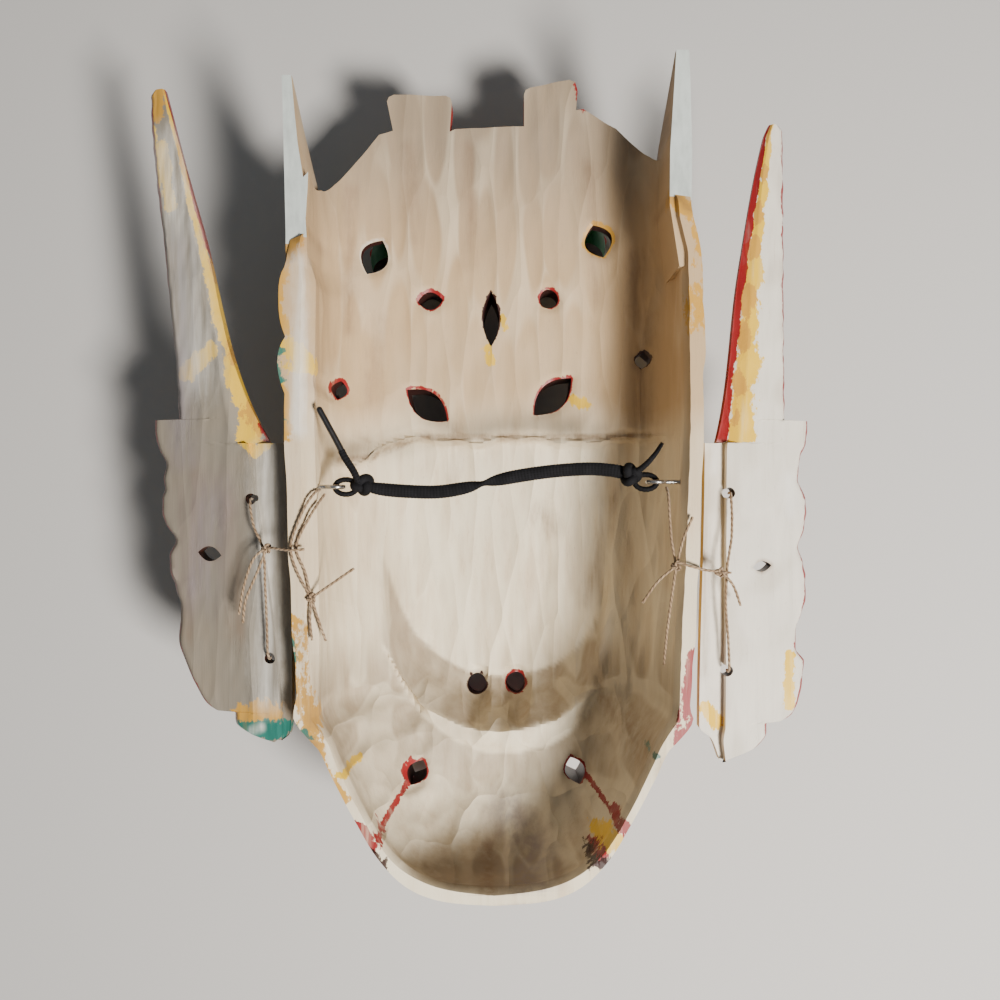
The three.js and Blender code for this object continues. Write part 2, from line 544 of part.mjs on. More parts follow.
const RIGHT_PANEL = {
  side: 1,
  outer: [[-121, 108], [-116, 122.5], [-110.4, 128.1], [-104.4, 128.6], [-104.2, 132], [-104, 136], [-100, 142.2],
    [-89.8, 146], [-76, 147.4], [-74, 146], [-71, 143.6], [-61.5, 143.2], [-52, 147], [-45, 148.4], [-37.8, 148.4],
    [-30, 147], [-22.2, 144.6], [-14.2, 147.4], [-6, 148.6], [0, 148.4], [9.5, 144.6], [15, 144.8], [21.3, 146],
    [28, 148.6], [35.5, 149.3], [37.4, 149.3], [37.6, 137.6], [174, 136.4], [176, 134.6]],
  inner: [[-121, 105], [-111, 101], [-105, 95], [20.7, 97.6], [26.4, 97.6], [26.6, 103.5], [107, 114.5],
    [170, 126.4], [176, 129]],
  step: [[-121, 107], [-111, 106], [-105, 107], [22, 107.6], [26.4, 108], [26.6, 114], [107, 121], [170, 128.6],
    [176, 130.5]],
  lens: [125, -31, 9.5, 5, 0.1],
  twineHoles: [[109, 3.2], [108, -79]],
};
const TONGUE_TOP = 26.5;
const PANEL_ROWS = 4;

// A panel is a board of cross-sections from its foot to its tip. It leans outwards, its outer edge lower.
function earPanel({ side, outer, inner, step, lens, twineHoles }) {
  const low = outer[0][0];
  const high = outer[outer.length - 1][0];
  const places = new Set([...outer, ...inner, ...step].map(([y]) => y).filter((y) => y >= low && y <= high));
  for (let i = 1; i < PANEL_ROWS; i += 1) places.add(TONGUE_TOP + 12 + ((high - TONGUE_TOP - 12) * i) / PANEL_ROWS);
  const rows = [...places].sort((a, b) => a - b);
  const rings = rows.map((y) => {
    const spike = y > TONGUE_TOP;
    const thick = THREE.MathUtils.lerp(PANEL.thick, PANEL.tipThick, smoothstep(TONGUE_TOP, high, y));
    const [far, near, fold] = [along(outer, y), along(inner, y), along(step, y)];
    const dip = spike ? Math.min(8, (fold - near) * 0.45 + 1) : PANEL.rebate;
    const bent = spike ? (fold + near) / 2 : fold - 0.3;
    return [[far, -thick], [far - 0.3, -2.5], [far - 2.5, 0], [fold, 0], [bent, spike ? -dip / 2 : -dip],
      [near, -dip], [near, -Math.max(thick, dip + 1.5)]].map(([across, up]) => {
      const out = across - PANEL.hinge;
      return [side * (PANEL.hinge + out), y, RIM_Z - PANEL.hingeDrop - out * Math.tan(PANEL.tilt) + up];
    });
  });
  let panel = solidLoft(rings);
  panel = panel.subtract(lensHole(side * lens[0], lens[1], lens[2], lens[3], lens[4] * side, 20, RIM_Z + 9));
  twineHoles.forEach(([x, y]) => { panel = panel.subtract(roundHole(side * x, y, PANEL.twineHole, 20, RIM_Z + 9)); });
  return panel;
}

// A cord or twine: a round tube along a chosen route, with flat ends.
function cordTube(route, diameter, steps) {
  const curve = new THREE.CatmullRomCurve3(route.map((p) => new THREE.Vector3(...p)));
  const shape = new THREE.Shape();
  for (let i = 0; i <= 8; i += 1) {
    const angle = (i / 8) * Math.PI * 2;
    const [x, y] = [Math.cos(angle) * diameter * 0.5, Math.sin(angle) * diameter * 0.5];
    if (i === 0) shape.moveTo(x, y);
    else shape.lineTo(x, y);
  }
  return toSolid(new THREE.ExtrudeGeometry(shape, { steps, extrudePath: curve, bevelEnabled: false }));
}

// The hanging lace: loop round each ring, knot, the run between, and two tails
const LACE = { width: 5.2, tail: 4, loop: 1.5, loopRadius: 4, knot: [6, 5, 4.8] };
const LACE_RUN = [[-60, 6.4, 101], [-52, 5, 99.4], [-40, 4, 97.6], [-26, 3.8, 96.2], [-14, 5.6, 95.5],
  [-4, 8, 95.3], [8, 10.6, 95.5], [22, 12.8, 96], [34, 14, 96.8], [46, 14.4, 98.2], [56, 13.4, 100], [62, 12, 101]];
const LEFT_TAIL = [[-62, 8, 103.5], [-64, 13, 106], [-67.6, 19, 107.6], [-71, 26, 108.6], [-75.2, 34, 109.8],
  [-79.4, 42, 111]];
const RIGHT_TAIL = [[64, 12, 103.5], [68.5, 15.5, 105.5], [73, 20.5, 107], [76.5, 26, 108]];

function hangingLace() {
  const loopAt = ({ side, x, y, z }) => toSolid(new THREE.TorusGeometry(LACE.loopRadius, LACE.loop, 6, 10)
    .translate(x - side * EYE.ring, y, z));
  const knot = (x, y, z) => ellipsoid([x, y, z], LACE.knot, 8, 5);
  return cordTube(LACE_RUN, LACE.width, 15)
    .add(knot(-60.5, 7, 101.3)).add(knot(63, 11.6, 101.3))
    .add(loopAt(LEFT_EYE)).add(loopAt(RIGHT_EYE))
    .add(cordTube(LEFT_TAIL, LACE.tail, 5)).add(cordTube(RIGHT_TAIL, LACE.tail, 4));
}

// Twine: its strands, as routes chosen by hand, and a knot where they meet
const TWINE = { diameter: 1.3, knot: 2 };
const ON_RIM = RIM_Z + TWINE.diameter / 2 + GAP;
const LEFT_BODY_TWINE = {
  strands: [
    [[-79.6, 4.6, 104.5], [-80.8, 3.6, 109.4], [-83.6, -1, ON_RIM + 0.4], [-88, -10, ON_RIM + 0.3],
      [-91.2, -20.5, ON_RIM + 0.4], [-90, -28, ON_RIM + 0.3], [-85.5, -38, ON_RIM + 0.3], [-82, -44, 112.5]],
    [[-77.6, 2.6, 104], [-80, -2, 109], [-83, -8, ON_RIM], [-88.8, -21.5, ON_RIM], [-85, -32, ON_RIM],
      [-82, -44, 112.6], [-79.4, -54, 110.4], [-76.4, -64, 108]],
    [[-82, -44, 112.6], [-74, -38.5, 113.5], [-62.6, -30.6, 114.6]],
    [[-82, -44, 112.6], [-82.6, -54, 113], [-81.6, -63, 113.4]],
  ],
  knot: [-82, -44, 112.6],
};
const RIGHT_BODY_TWINE = {
  strands: [
    [[79.5, 5.8, 100], [79.6, 2, 105], [79.8, -10, 108.4], [80.4, -20, 110.5], [82, -29.6, 112.4]],
    [[82, -29.6, 112.4], [80.4, -44, 109.4], [79, -60, 105.4], [78.4, -76, 100.4]],
    [[82, -29.6, 112.4], [74, -36, 113.6], [66.4, -46, 114.6]],
    [[82, -29.6, 112.4], [85, -17, 114.2], [89, -7.5, 114.4]],
  ],
  knot: [82, -29.6, 112.4],
};
const LEFT_PANEL_TWINE = {
  steps: 14,
  strands: [
    [[-112.8, 0.5, 96], [-112.8, 0.4, 99.8], [-112.3, -2, 102], [-110, -12, 104.3], [-105.6, -22, 105.6],
      [-104.6, -40, 105], [-104, -60, 103.8], [-103.7, -70, 103.8], [-103.5, -72.8, 102], [-103.5, -73, 98.4]],
  ],
};
const RIGHT_PANEL_TWINE = {
  steps: 14,
  strands: [
    [[109, 3.2, 97], [109, 3.1, 100.8], [108.9, 0.4, 103], [108.6, -16, 105], [106.4, -30, 106.2], [106, -48, 105],
      [107.4, -66, 103.8], [107.9, -76, 103.2], [108, -78.8, 101.2], [108, -79, 97.4]],
  ],
};
const LEFT_CROSS_TIE = {
  strands: [
    [[-84.6, -22, 115.4], [-90, -22.4, 116], [-97, -22, 112.6], [-103, -22, 109.2], [-108.6, -26, 108.2],
      [-113.4, -38, 107.6], [-116, -52, 107.4]],
    [[-103, -22, 109.2], [-108, -34, 108], [-113, -46, 107.6], [-114.2, -56, 107.4]],
  ],
  knot: [-103, -22, 109.2],
};
const RIGHT_CROSS_TIE = {
  strands: [
    [[81.4, -27.4, 115.8], [88, -29.6, 116.4], [96, -31.6, 113.4], [102, -32.6, 110.6], [107.2, -33, 109.4]],
    [[102, -32.6, 110.6], [108, -38, 109], [112, -48, 107.4]],
  ],
  knot: [102, -32.6, 110.6],
};

function twine({ strands, knot, steps }) {
  const tubes = strands.map((route) => cordTube(route, TWINE.diameter, steps || Math.max(3, route.length - 1)));
  let whole = tubes[0];
  tubes.slice(1).forEach((tube) => { whole = whole.add(tube); });
  return knot ? whole.add(ellipsoid(knot, [TWINE.knot, TWINE.knot, TWINE.knot * 0.8], 6, 4)) : whole;
}

// Materials
const finish = (color, roughness, metalness = 0) => new THREE.MeshStandardMaterial({ color, roughness, metalness });
const BARE_WOOD = finish(0xd9c6a4, 0.75);
const STEEL = finish(0xb8bcc0, 0.3, 1);
const BLACK_BRAID = finish(0x111114, 0.85);
const TWINE_FIBRE = finish(0x8c7558, 0.9);

const mask = new THREE.Group();
function place(name, solid, material) {
  const mesh = new THREE.Mesh(toGeometry(solid), material);
  mesh.name = name;
  mask.add(mesh);
}

place('mask_body', maskBody(), BARE_WOOD);
place('left_ear_panel', earPanel(LEFT_PANEL), BARE_WOOD);
place('right_ear_panel', earPanel(RIGHT_PANEL), BARE_WOOD);
place('left_screw_eye', screwEye(LEFT_EYE), STEEL);
place('right_screw_eye', screwEye(RIGHT_EYE), STEEL);
place('hanging_lace', hangingLace(), BLACK_BRAID);
place('left_body_twine', twine(LEFT_BODY_TWINE), TWINE_FIBRE);
place('right_body_twine', twine(RIGHT_BODY_TWINE), TWINE_FIBRE);
place('left_panel_twine', twine(LEFT_PANEL_TWINE), TWINE_FIBRE);
place('right_panel_twine', twine(RIGHT_PANEL_TWINE), TWINE_FIBRE);
place('left_cross_tie', twine(LEFT_CROSS_TIE), TWINE_FIBRE);
place('right_cross_tie', twine(RIGHT_CROSS_TIE), TWINE_FIBRE);

// The middle of the box of the body and its panels goes over the origin.
const BOX_MIDDLE = { x: -7.95, y: 14.05 };
mask.position.set(-BOX_MIDDLE.x, -BOX_MIDDLE.y, 0);

export default mask;
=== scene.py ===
"""Looks of a carved and painted garuda mask that lies on its face, with its hollow side up.

Shapes are worked out in millimetres about the mask's own middle line: +Z up towards the wearer's side, +Y
towards the crown, +X to the right as seen from behind. Form.mesh moves them into the row frame, in metres.
"""

import json
import logging
import math
from dataclasses import dataclass, field, replace
from enum import Enum, IntEnum
from typing import Callable, Iterable, Sequence

import bpy
import numpy as np
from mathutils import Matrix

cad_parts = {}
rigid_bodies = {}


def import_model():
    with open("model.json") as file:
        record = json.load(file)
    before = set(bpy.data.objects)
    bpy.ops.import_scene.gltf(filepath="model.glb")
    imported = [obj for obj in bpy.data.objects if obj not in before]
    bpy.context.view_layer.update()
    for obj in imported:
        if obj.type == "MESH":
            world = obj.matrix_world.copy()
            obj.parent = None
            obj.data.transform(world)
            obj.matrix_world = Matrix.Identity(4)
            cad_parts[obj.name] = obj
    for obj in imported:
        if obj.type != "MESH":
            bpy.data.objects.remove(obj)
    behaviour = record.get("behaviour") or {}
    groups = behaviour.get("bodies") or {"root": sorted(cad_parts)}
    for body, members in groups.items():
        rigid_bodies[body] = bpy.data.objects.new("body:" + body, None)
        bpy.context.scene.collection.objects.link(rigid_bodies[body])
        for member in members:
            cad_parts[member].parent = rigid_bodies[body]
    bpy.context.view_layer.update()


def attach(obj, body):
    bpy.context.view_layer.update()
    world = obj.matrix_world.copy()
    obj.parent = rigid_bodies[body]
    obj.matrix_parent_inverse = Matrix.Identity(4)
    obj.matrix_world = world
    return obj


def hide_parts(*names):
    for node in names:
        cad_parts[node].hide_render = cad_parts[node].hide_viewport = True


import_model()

log = logging.getLogger("garuda_mask")

MIDDLE = np.array([-7.95, 14.05, 0.0])
RIM_Z = 112.0
HORN_DROP = 3.0
Array = np.ndarray
Pairs = Sequence[Sequence[float]]
Tone = tuple[float, float, float]
Curve = Callable[[Array], Array]
Pattern = Callable[[Array, Array], Array]


# Small maths on whole arrays


def smoothstep(low: float, high: float, value: Array) -> Array:
    """A soft step from 0 at low to 1 at high: t squared times (3 minus 2t)."""
    t = np.clip((np.asarray(value, float) - low) / (high - low), 0.0, 1.0)
    return t * t * (3.0 - 2.0 * t)


def power(value: Array, exponent: float) -> Array:
    """The size of a value to a power, with no trouble at zero."""
    return np.abs(value) ** exponent


def eased(rows: Pairs, softness: float) -> Curve:
    """Makes a smooth curve from a table.

    The table is read on straight lines every half millimetre, then averaged with a bell curve.

    Args:
        rows: Pairs of a place and its value, in either order.
        softness: Width of the bell curve, in mm.

    Returns:
        A function from places to values.
    """
    table = np.array(sorted([tuple(r) for r in rows]), float)
    low, high = table[0, 0] - 60.0, table[-1, 0] + 60.0
    fine = np.arange(low, high, 0.5)
    values = np.interp(fine, table[:, 0], table[:, 1])
    reach = np.arange(-3 * softness, 3 * softness + 0.25, 0.5)
    bell = np.exp(-0.5 * (reach / softness) ** 2)
    padded = np.pad(values, len(reach) // 2, mode="edge")
    smooth = np.convolve(padded, bell / bell.sum(), mode="valid")[: len(fine)]
    return lambda place: np.interp(place, fine, smooth)


def evenly(points: Array, count: int) -> Array:
    """Spreads count + 1 points at equal steps of length along a polyline of any dimension."""
    lengths = np.r_[0.0, np.cumsum(np.linalg.norm(np.diff(points, axis=0), axis=1))]
    places = np.linspace(0.0, lengths[-1], count + 1)
    return np.stack([np.interp(places, lengths, points[:, k]) for k in range(points.shape[1])], 1)


def smooth_path(points: Pairs, count: int) -> Array:
    """Carries a smooth curve through points, evenly spaced along it.

    Each stretch between two points is a Hermite cubic. Its slopes are the centred differences over the
    square root of the chord lengths, so tight bends do not overshoot.

    Args:
        points: The points, in mm.
        count: How many steps the curve gets.

    Returns:
        An array of count + 1 points.
    """
    p = np.array(points, float)
    knots = np.r_[0.0, np.cumsum(np.sqrt(np.linalg.norm(np.diff(p, axis=0), axis=1)))]
    slopes = np.gradient(p, knots, axis=0)
    fine = np.linspace(0.0, knots[-1], max(400, 20 * len(p)))
    i = np.clip(np.searchsorted(knots, fine, side="right") - 1, 0, len(p) - 2)
    h = (knots[i + 1] - knots[i])[:, None]
    t = ((fine - knots[i])[:, None]) / h
    curve = (
        (2 * t**3 - 3 * t**2 + 1) * p[i]
        + (t**3 - 2 * t**2 + t) * h * slopes[i]
        + (-2 * t**3 + 3 * t**2) * p[i + 1]
        + (t**3 - t**2) * h * slopes[i + 1]
    )
    return evenly(curve, count)


def gently(rows: Pairs, places: Array) -> Array:
    """Reads a table on a smooth curve that never overshoots its points.

    Each stretch is a Hermite cubic. Its slope at a point is the harmonic mean of the slopes beside it, or 0
    where they differ in sign.

    Args:
        rows: Pairs of a rising place and its value.
        places: Where to read.

    Returns:
        The values.
    """
    x, v = np.array(rows, float).T
    step = np.diff(x)
    rise = np.diff(v) / step
    both = rise[:-1] * rise[1:]
    inner = np.where(both > 0, 2 * both / np.where(both > 0, rise[:-1] + rise[1:], 1.0), 0.0)
    slope = np.r_[rise[0], inner, rise[-1]]
    i = np.clip(np.searchsorted(x, places, side="right") - 1, 0, len(x) - 2)
    h = step[i]
    t = np.clip((places - x[i]) / h, 0.0, 1.0)
    return ((2 * t**3 - 3 * t**2 + 1) * v[i] + (t**3 - 2 * t**2 + t) * h * slope[i]
            + (3 * t**2 - 2 * t**3) * v[i + 1] + (t**3 - t**2) * h * slope[i + 1])


def noise(places: Array, size: float, seed: int) -> Array:
    """Smooth seeded noise from -1 to 1: the sum of twelve sine waves of random direction and phase.

    Args:
        places: Points, one per row, in two or three dimensions.
        size: Rough size of its patches, in mm.
        seed: Which noise.

    Returns:
        One value per point.
    """
    rng = np.random.default_rng(seed)
    flat = places.reshape(-1, places.shape[-1])
    waves = rng.normal(size=(12, flat.shape[1]))
    waves *= (2 * math.pi / size) * rng.uniform(0.5, 1.5, (12, 1)) / np.linalg.norm(waves, axis=1)[:, None]
    total = np.sin(flat @ waves.T + rng.uniform(0, 2 * math.pi, 12)).sum(1) / 4.5
    return np.clip(total, -1.0, 1.0).reshape(places.shape[:-1])


def distance_to(points: Array, line: Pairs) -> Array:
    """Distance in plan from points to a polyline, the least over its stretches."""
    p = np.asarray(points, float)[:, :2]
    route = np.array(line, float)[:, :2]
    best = np.full(len(p), np.inf)
    for a, b in zip(route[:-1], route[1:]):
        ahead = b - a
        t = np.clip(((p - a) @ ahead) / max(ahead @ ahead, 1e-9), 0.0, 1.0)
        best = np.minimum(best, np.linalg.norm(p - a - t[:, None] * ahead, axis=1))
    return best


class Skin(IntEnum):
    """Material slots of the mask's body, in order."""

    HOLLOW = 0
    WHITE = 1
    RED = 2
    YELLOW = 3
    GREEN = 4
    BLACK = 5
    HOLE = 6
    BLUE_WHITE = 7
    TEAL = 8
    EYE = 9


# Surfaces made into meshes


@dataclass
class Form:
    """A closed surface: corners in mm in the mask's axes, and faces that point outwards.

    Once its mesh is made, kept says which corner each of the mesh's corners was.
    """

    corners: Array
    faces: list
    kept: Array | None = None

    @staticmethod
    def sweep(rings: Array, closed_ends: bool = True) -> "Form":
        """Joins rings of equal point count into a closed surface.

        Corner j of ring i is at row i, column j, and each face spans two rings and two columns, the last
        column beside the first.

        Args:
            rings: Points as an array of rings by columns by 3.
            closed_ends: Whether the first and last rings get a flat face.

        Returns:
            The form.
        """
        rows, columns = rings.shape[:2]
        i, j = np.meshgrid(np.arange(rows - 1), np.arange(columns), indexing="ij")
        k = (j + 1) % columns
        quads = np.stack([i * columns + j, i * columns + k, (i + 1) * columns + k, (i + 1) * columns + j], -1)
        faces = quads.reshape(-1, 4).tolist()
        if closed_ends:
            faces.append(list(range(columns - 1, -1, -1)))
            faces.append(list(range((rows - 1) * columns, rows * columns)))
        return Form(rings.reshape(-1, 3), faces).outwards()

    @staticmethod
    def together(forms: Sequence["Form"]) -> "Form":
        """Puts forms that do not touch into one."""
        starts = np.cumsum([0] + [len(f.corners) for f in forms])
        faces = [[c + s for c in face] for f, s in zip(forms, starts.tolist()) for face in f.faces]
        return Form(np.concatenate([f.corners for f in forms]), faces)

    def outwards(self) -> "Form":
        """Turns every face round if the volume that they enclose comes out below zero."""
        middle = self.corners.mean(0)
        fan = [(f[0], f[n], f[n + 1]) for f in self.faces for n in range(1, len(f) - 1)]
        tri = self.corners[np.array(fan)] - middle
        if np.einsum("ij,ij->i", tri[:, 0], np.cross(tri[:, 1], tri[:, 2])).sum() < 0:
            self.faces = [f[::-1] for f in self.faces]
        return self

    def mesh(self, name: str, material: int = 0, tidy: float = 0.002) -> bpy.types.Mesh:
        """Makes the Blender mesh, in the row frame, with doubled corners merged.

        Args:
            name: The mesh's name.
            material: Material index of its faces.
            tidy: Corners nearer than this, in mm, become one.

        Returns:
            The mesh.
        """
        made = bpy.data.meshes.new(name)
        keys = np.round(self.corners / tidy).astype(np.int64)
        _, first, where = np.unique(keys, axis=0, return_index=True, return_inverse=True)
        where, self.kept = where.reshape(-1), first
        faces = []
        for face in self.faces:
            corners = [int(where[c]) for c in face]
            kept = [c for n, c in enumerate(corners) if c != corners[n - 1]]
            if len(set(kept)) >= 3:
                faces.append(kept)
        made.from_pydata(((self.corners[first] - MIDDLE) / 1000.0).tolist(), [], faces)
        for _ in Skin:
            made.materials.append(None)
        made.polygons.foreach_set("material_index", np.full(len(faces), material, np.int32))
        made.update()
        return made


def make_object(name: str, mesh: bpy.types.Mesh) -> bpy.types.Object:
    """Links a new object at the origin."""
    made = bpy.data.objects.new(name, mesh)
    bpy.context.scene.collection.objects.link(made)
    return made


def tube(path: Array, radius: Curve, turned: Sequence[float], sides: int = 12,
         height: Curve | None = None, twist: Curve | None = None,
         relief: Pattern | None = None, looped: bool = False) -> Form:
    """Sweeps a round or flat section along a path.

    At each path point the section's first axis is the reference direction made square to the path, and its
    second axis is square to both. Corner j is the point plus cosine(a) times radius on the first axis plus
    sine(a) times height on the second, with a the column's share of a full turn and the axes turned by the
    twist. A relief lifts each corner outwards by its own share of the section.

    Args:
        path: Points in mm.
        radius: Half-width as a function of the share of the path, from 0 to 1.
        turned: Reference direction, never along the path.
        sides: Columns round the section.
        height: Half-height, or None for a round section.
        twist: Turn of the section in radians, as a function of the share.
        relief: Share added to the section's size, from the share of the path and the angle.
        looped: Whether the last point runs on into the first.

    Returns:
        The closed form.
    """
    share = np.linspace(0.0, 1.0, len(path))
    ahead = (np.roll(path, -1, 0) - np.roll(path, 1, 0)) if looped else np.gradient(path, axis=0)
    ahead = ahead / np.linalg.norm(ahead, axis=1)[:, None]
    side = np.asarray(turned, float) - (ahead @ np.asarray(turned, float))[:, None] * ahead
    side /= np.linalg.norm(side, axis=1)[:, None]
    top = np.cross(side, ahead)
    wide = radius(share)
    tall = wide if height is None else height(share)
    spin = np.zeros_like(share) if twist is None else twist(share)
    angle = np.linspace(0.0, 2 * math.pi, sides, endpoint=False)
    flat_axis = np.cos(spin)[:, None] * side + np.sin(spin)[:, None] * top
    tall_axis = -np.sin(spin)[:, None] * side + np.cos(spin)[:, None] * top
    out = ((wide[:, None] * np.cos(angle))[..., None] * flat_axis[:, None, :]
           + (tall[:, None] * np.sin(angle))[..., None] * tall_axis[:, None, :])
    if relief is not None:
        out = out * (1.0 + relief(share[:, None], angle[None, :]))[..., None]
    rings = path[:, None, :] + out
    if looped:
        return Form.sweep(np.concatenate([rings, rings[:1]]), closed_ends=False)
    return Form.sweep(rings)


def steady(value: float) -> Curve:
    """A size that stays the same along a path."""
    return lambda share: np.full_like(share, value)


def ball(centre: Sequence[float], radii: Sequence[float], around: int = 40, rows: int = 26,
         bump: Curve | None = None, square: float = 1.0) -> Form:
    """An ellipsoid: longitude by latitude, with its poles on Z, and an optional swelling along its radius.

    For a square below 1 each sine and cosine is raised to that power, which makes it boxy.

    Args:
        centre: Its middle, in mm.
        radii: Its three half-widths.
        around: Columns.
        rows: Rows from pole to pole.
        bump: Share added to the radius, from the unit direction of each corner.
        square: Power of the sines and cosines.

    Returns:
        The closed form.
    """
    lat = np.linspace(math.pi, 0.0, rows + 1)
    lon = np.linspace(0.0, 2 * math.pi, around, endpoint=False)
    lat, lon = np.meshgrid(lat, lon, indexing="ij")
    boxy = lambda v: np.sign(v) * np.round(np.abs(v), 12) ** square
    unit = np.stack([boxy(np.sin(lat)) * boxy(np.cos(lon)), boxy(np.sin(lat)) * boxy(np.sin(lon)),
                     boxy(np.cos(lat))], -1)
    swell = 1.0 if bump is None else (1.0 + bump(unit))[..., None]
    return Form.sweep(np.asarray(centre) + unit * np.asarray(radii) * swell, closed_ends=False)


def prism(outline: Array, low: float, high: float, top: Array | None = None) -> Form:
    """Carries a flat outline up from one height to another, where it may take a second shape."""
    ends = ((outline, low), (outline if top is None else top, high))
    return Form.sweep(np.stack([np.c_[shape, np.full(len(shape), z)] for shape, z in ends]))


class Cut(Enum):
    """How a form meets the piece that it is worked into."""

    JOIN = "UNION"
    REMOVE = "DIFFERENCE"


def carve(piece: bpy.types.Object, form: Form | bpy.types.Object, how: Cut, material: int = 0) -> None:
    """Joins a form to a piece or removes it from the piece.

    Args:
        piece: The object whose mesh changes.
        form: The form, or an object whose mesh is used up.
        how: Joined or removed.
        material: Material index that the form's faces carry into the result.
    """
    tool = form if isinstance(form, bpy.types.Object) else make_object("tool", form.mesh("tool", material))
    step = piece.modifiers.new("step", "BOOLEAN")
    step.operation, step.solver, step.object, step.material_mode = how.value, "MANIFOLD", tool, "INDEX"
    bpy.context.view_layer.update()
    done = bpy.data.meshes.new_from_object(piece.evaluated_get(bpy.context.evaluated_depsgraph_get()))
    piece.modifiers.clear()
    used = piece.data
    piece.data = done
    bpy.data.meshes.remove(used)
    tool_mesh = tool.data
    bpy.data.objects.remove(tool)
    bpy.data.meshes.remove(tool_mesh)


def corners_of(piece: bpy.types.Object) -> Array:
    """A piece's corners in mm, in the mask's axes."""
    co = np.empty(len(piece.data.vertices) * 3)
    piece.data.vertices.foreach_get("co", co)
    return co.reshape(-1, 3) * 1000.0 + MIDDLE


def set_field(piece: bpy.types.Object, name: str, values: Array) -> None:
    """Stores one number per corner of a piece, for its material to read."""
    layer = piece.data.attributes.new(name, "FLOAT", "POINT")
    layer.data.foreach_set("value", np.asarray(values, np.float32))


def paint_slots(piece: bpy.types.Object, materials: Sequence[bpy.types.Material]) -> None:
    """Gives a piece its materials, and leaves each face the slot that it has."""
    slots = np.empty(len(piece.data.polygons), np.int32)
    piece.data.polygons.foreach_get("material_index", slots)
    piece.data.materials.clear()
    for material in materials:
        piece.data.materials.append(material)
    piece.data.polygons.foreach_set("material_index", slots)


def smooth_faces(piece: bpy.types.Object, angle: float = 34.0) -> None:
    """Shades a piece smooth, with edges sharper than an angle in degrees left crisp."""
    piece.data.shade_smooth()
    piece.data.set_sharp_from_angle(angle=math.radians(angle))


class Pigment(Enum):
    """Paints and stains that lie on bare wood in patches, with the field that holds each one's place."""

    YELLOW = ("yellow", (0.72, 0.46, 0.035))
    OCHRE = ("ochre", (0.55, 0.30, 0.05))
    RED = ("red", (0.25, 0.013, 0.015))
    GREEN = ("green", (0.025, 0.16, 0.13))
    BROWN = ("brown", (0.20, 0.12, 0.07))
    PALE = ("pale", (0.78, 0.77, 0.72))
    DARK = ("dark", (0.035, 0.012, 0.010))
    GREY = ("grey", (0.24, 0.21, 0.23))

    @property
    def field(self) -> str:
        """Name of its field on a piece."""
        return self.value[0]

    @property
    def tone(self) -> Tone:
        """Its colour."""
        return self.value[1]


# Shader maths


@dataclass
class Value:
    """A number socket in a material, with the operators that shader maths here uses."""

    tree: "Tree"
    socket: bpy.types.NodeSocket

    def _math(self, operation: str, first: object, second: object) -> "Value":
        node = self.tree.add("ShaderNodeMath", {"operation": operation}, {0: first, 1: second})
        return Value(self.tree, node.outputs[0])

    def __add__(self, other: "Value | float") -> "Value":
        """Sum."""
        return self._math("ADD", self, other)

    __radd__ = __add__

    def __sub__(self, other: "Value | float") -> "Value":
        """Difference."""
        return self._math("SUBTRACT", self, other)

    def __rsub__(self, other: float) -> "Value":
        """Difference from a number."""
        return self._math("SUBTRACT", other, self)

    def __mul__(self, other: "Value | float") -> "Value":
        """Product."""
        return self._math("MULTIPLY", self, other)

    __rmul__ = __mul__

    def least(self, other: "Value | float") -> "Value":
        """The smaller of two."""
        return self._math("MINIMUM", self, other)

    def step(self, low: float, high: float) -> "Value":
        """A soft step from 0 at low to 1 at high."""
        node = self.tree.add("ShaderNodeMapRange", {"interpolation_type": "SMOOTHSTEP"},
                             {"Value": self, "From Min": low, "From Max": high})
        return Value(self.tree, node.outputs["Result"])


@dataclass
class Colour:
    """A colour socket in a material."""

    tree: "Tree"
    socket: bpy.types.NodeSocket

    def to(self, other: "Colour | Sequence[float]", share: Value | float) -> "Colour":
        """Mixes towards another colour by a share."""
        return self.tree.mix(self, other, share)

    def red(self) -> Value:
        """Its red as a number."""
        return Value(self.tree, self.tree.add("ShaderNodeSeparateColor", None,
                                              {"Color": self}).outputs["Red"])


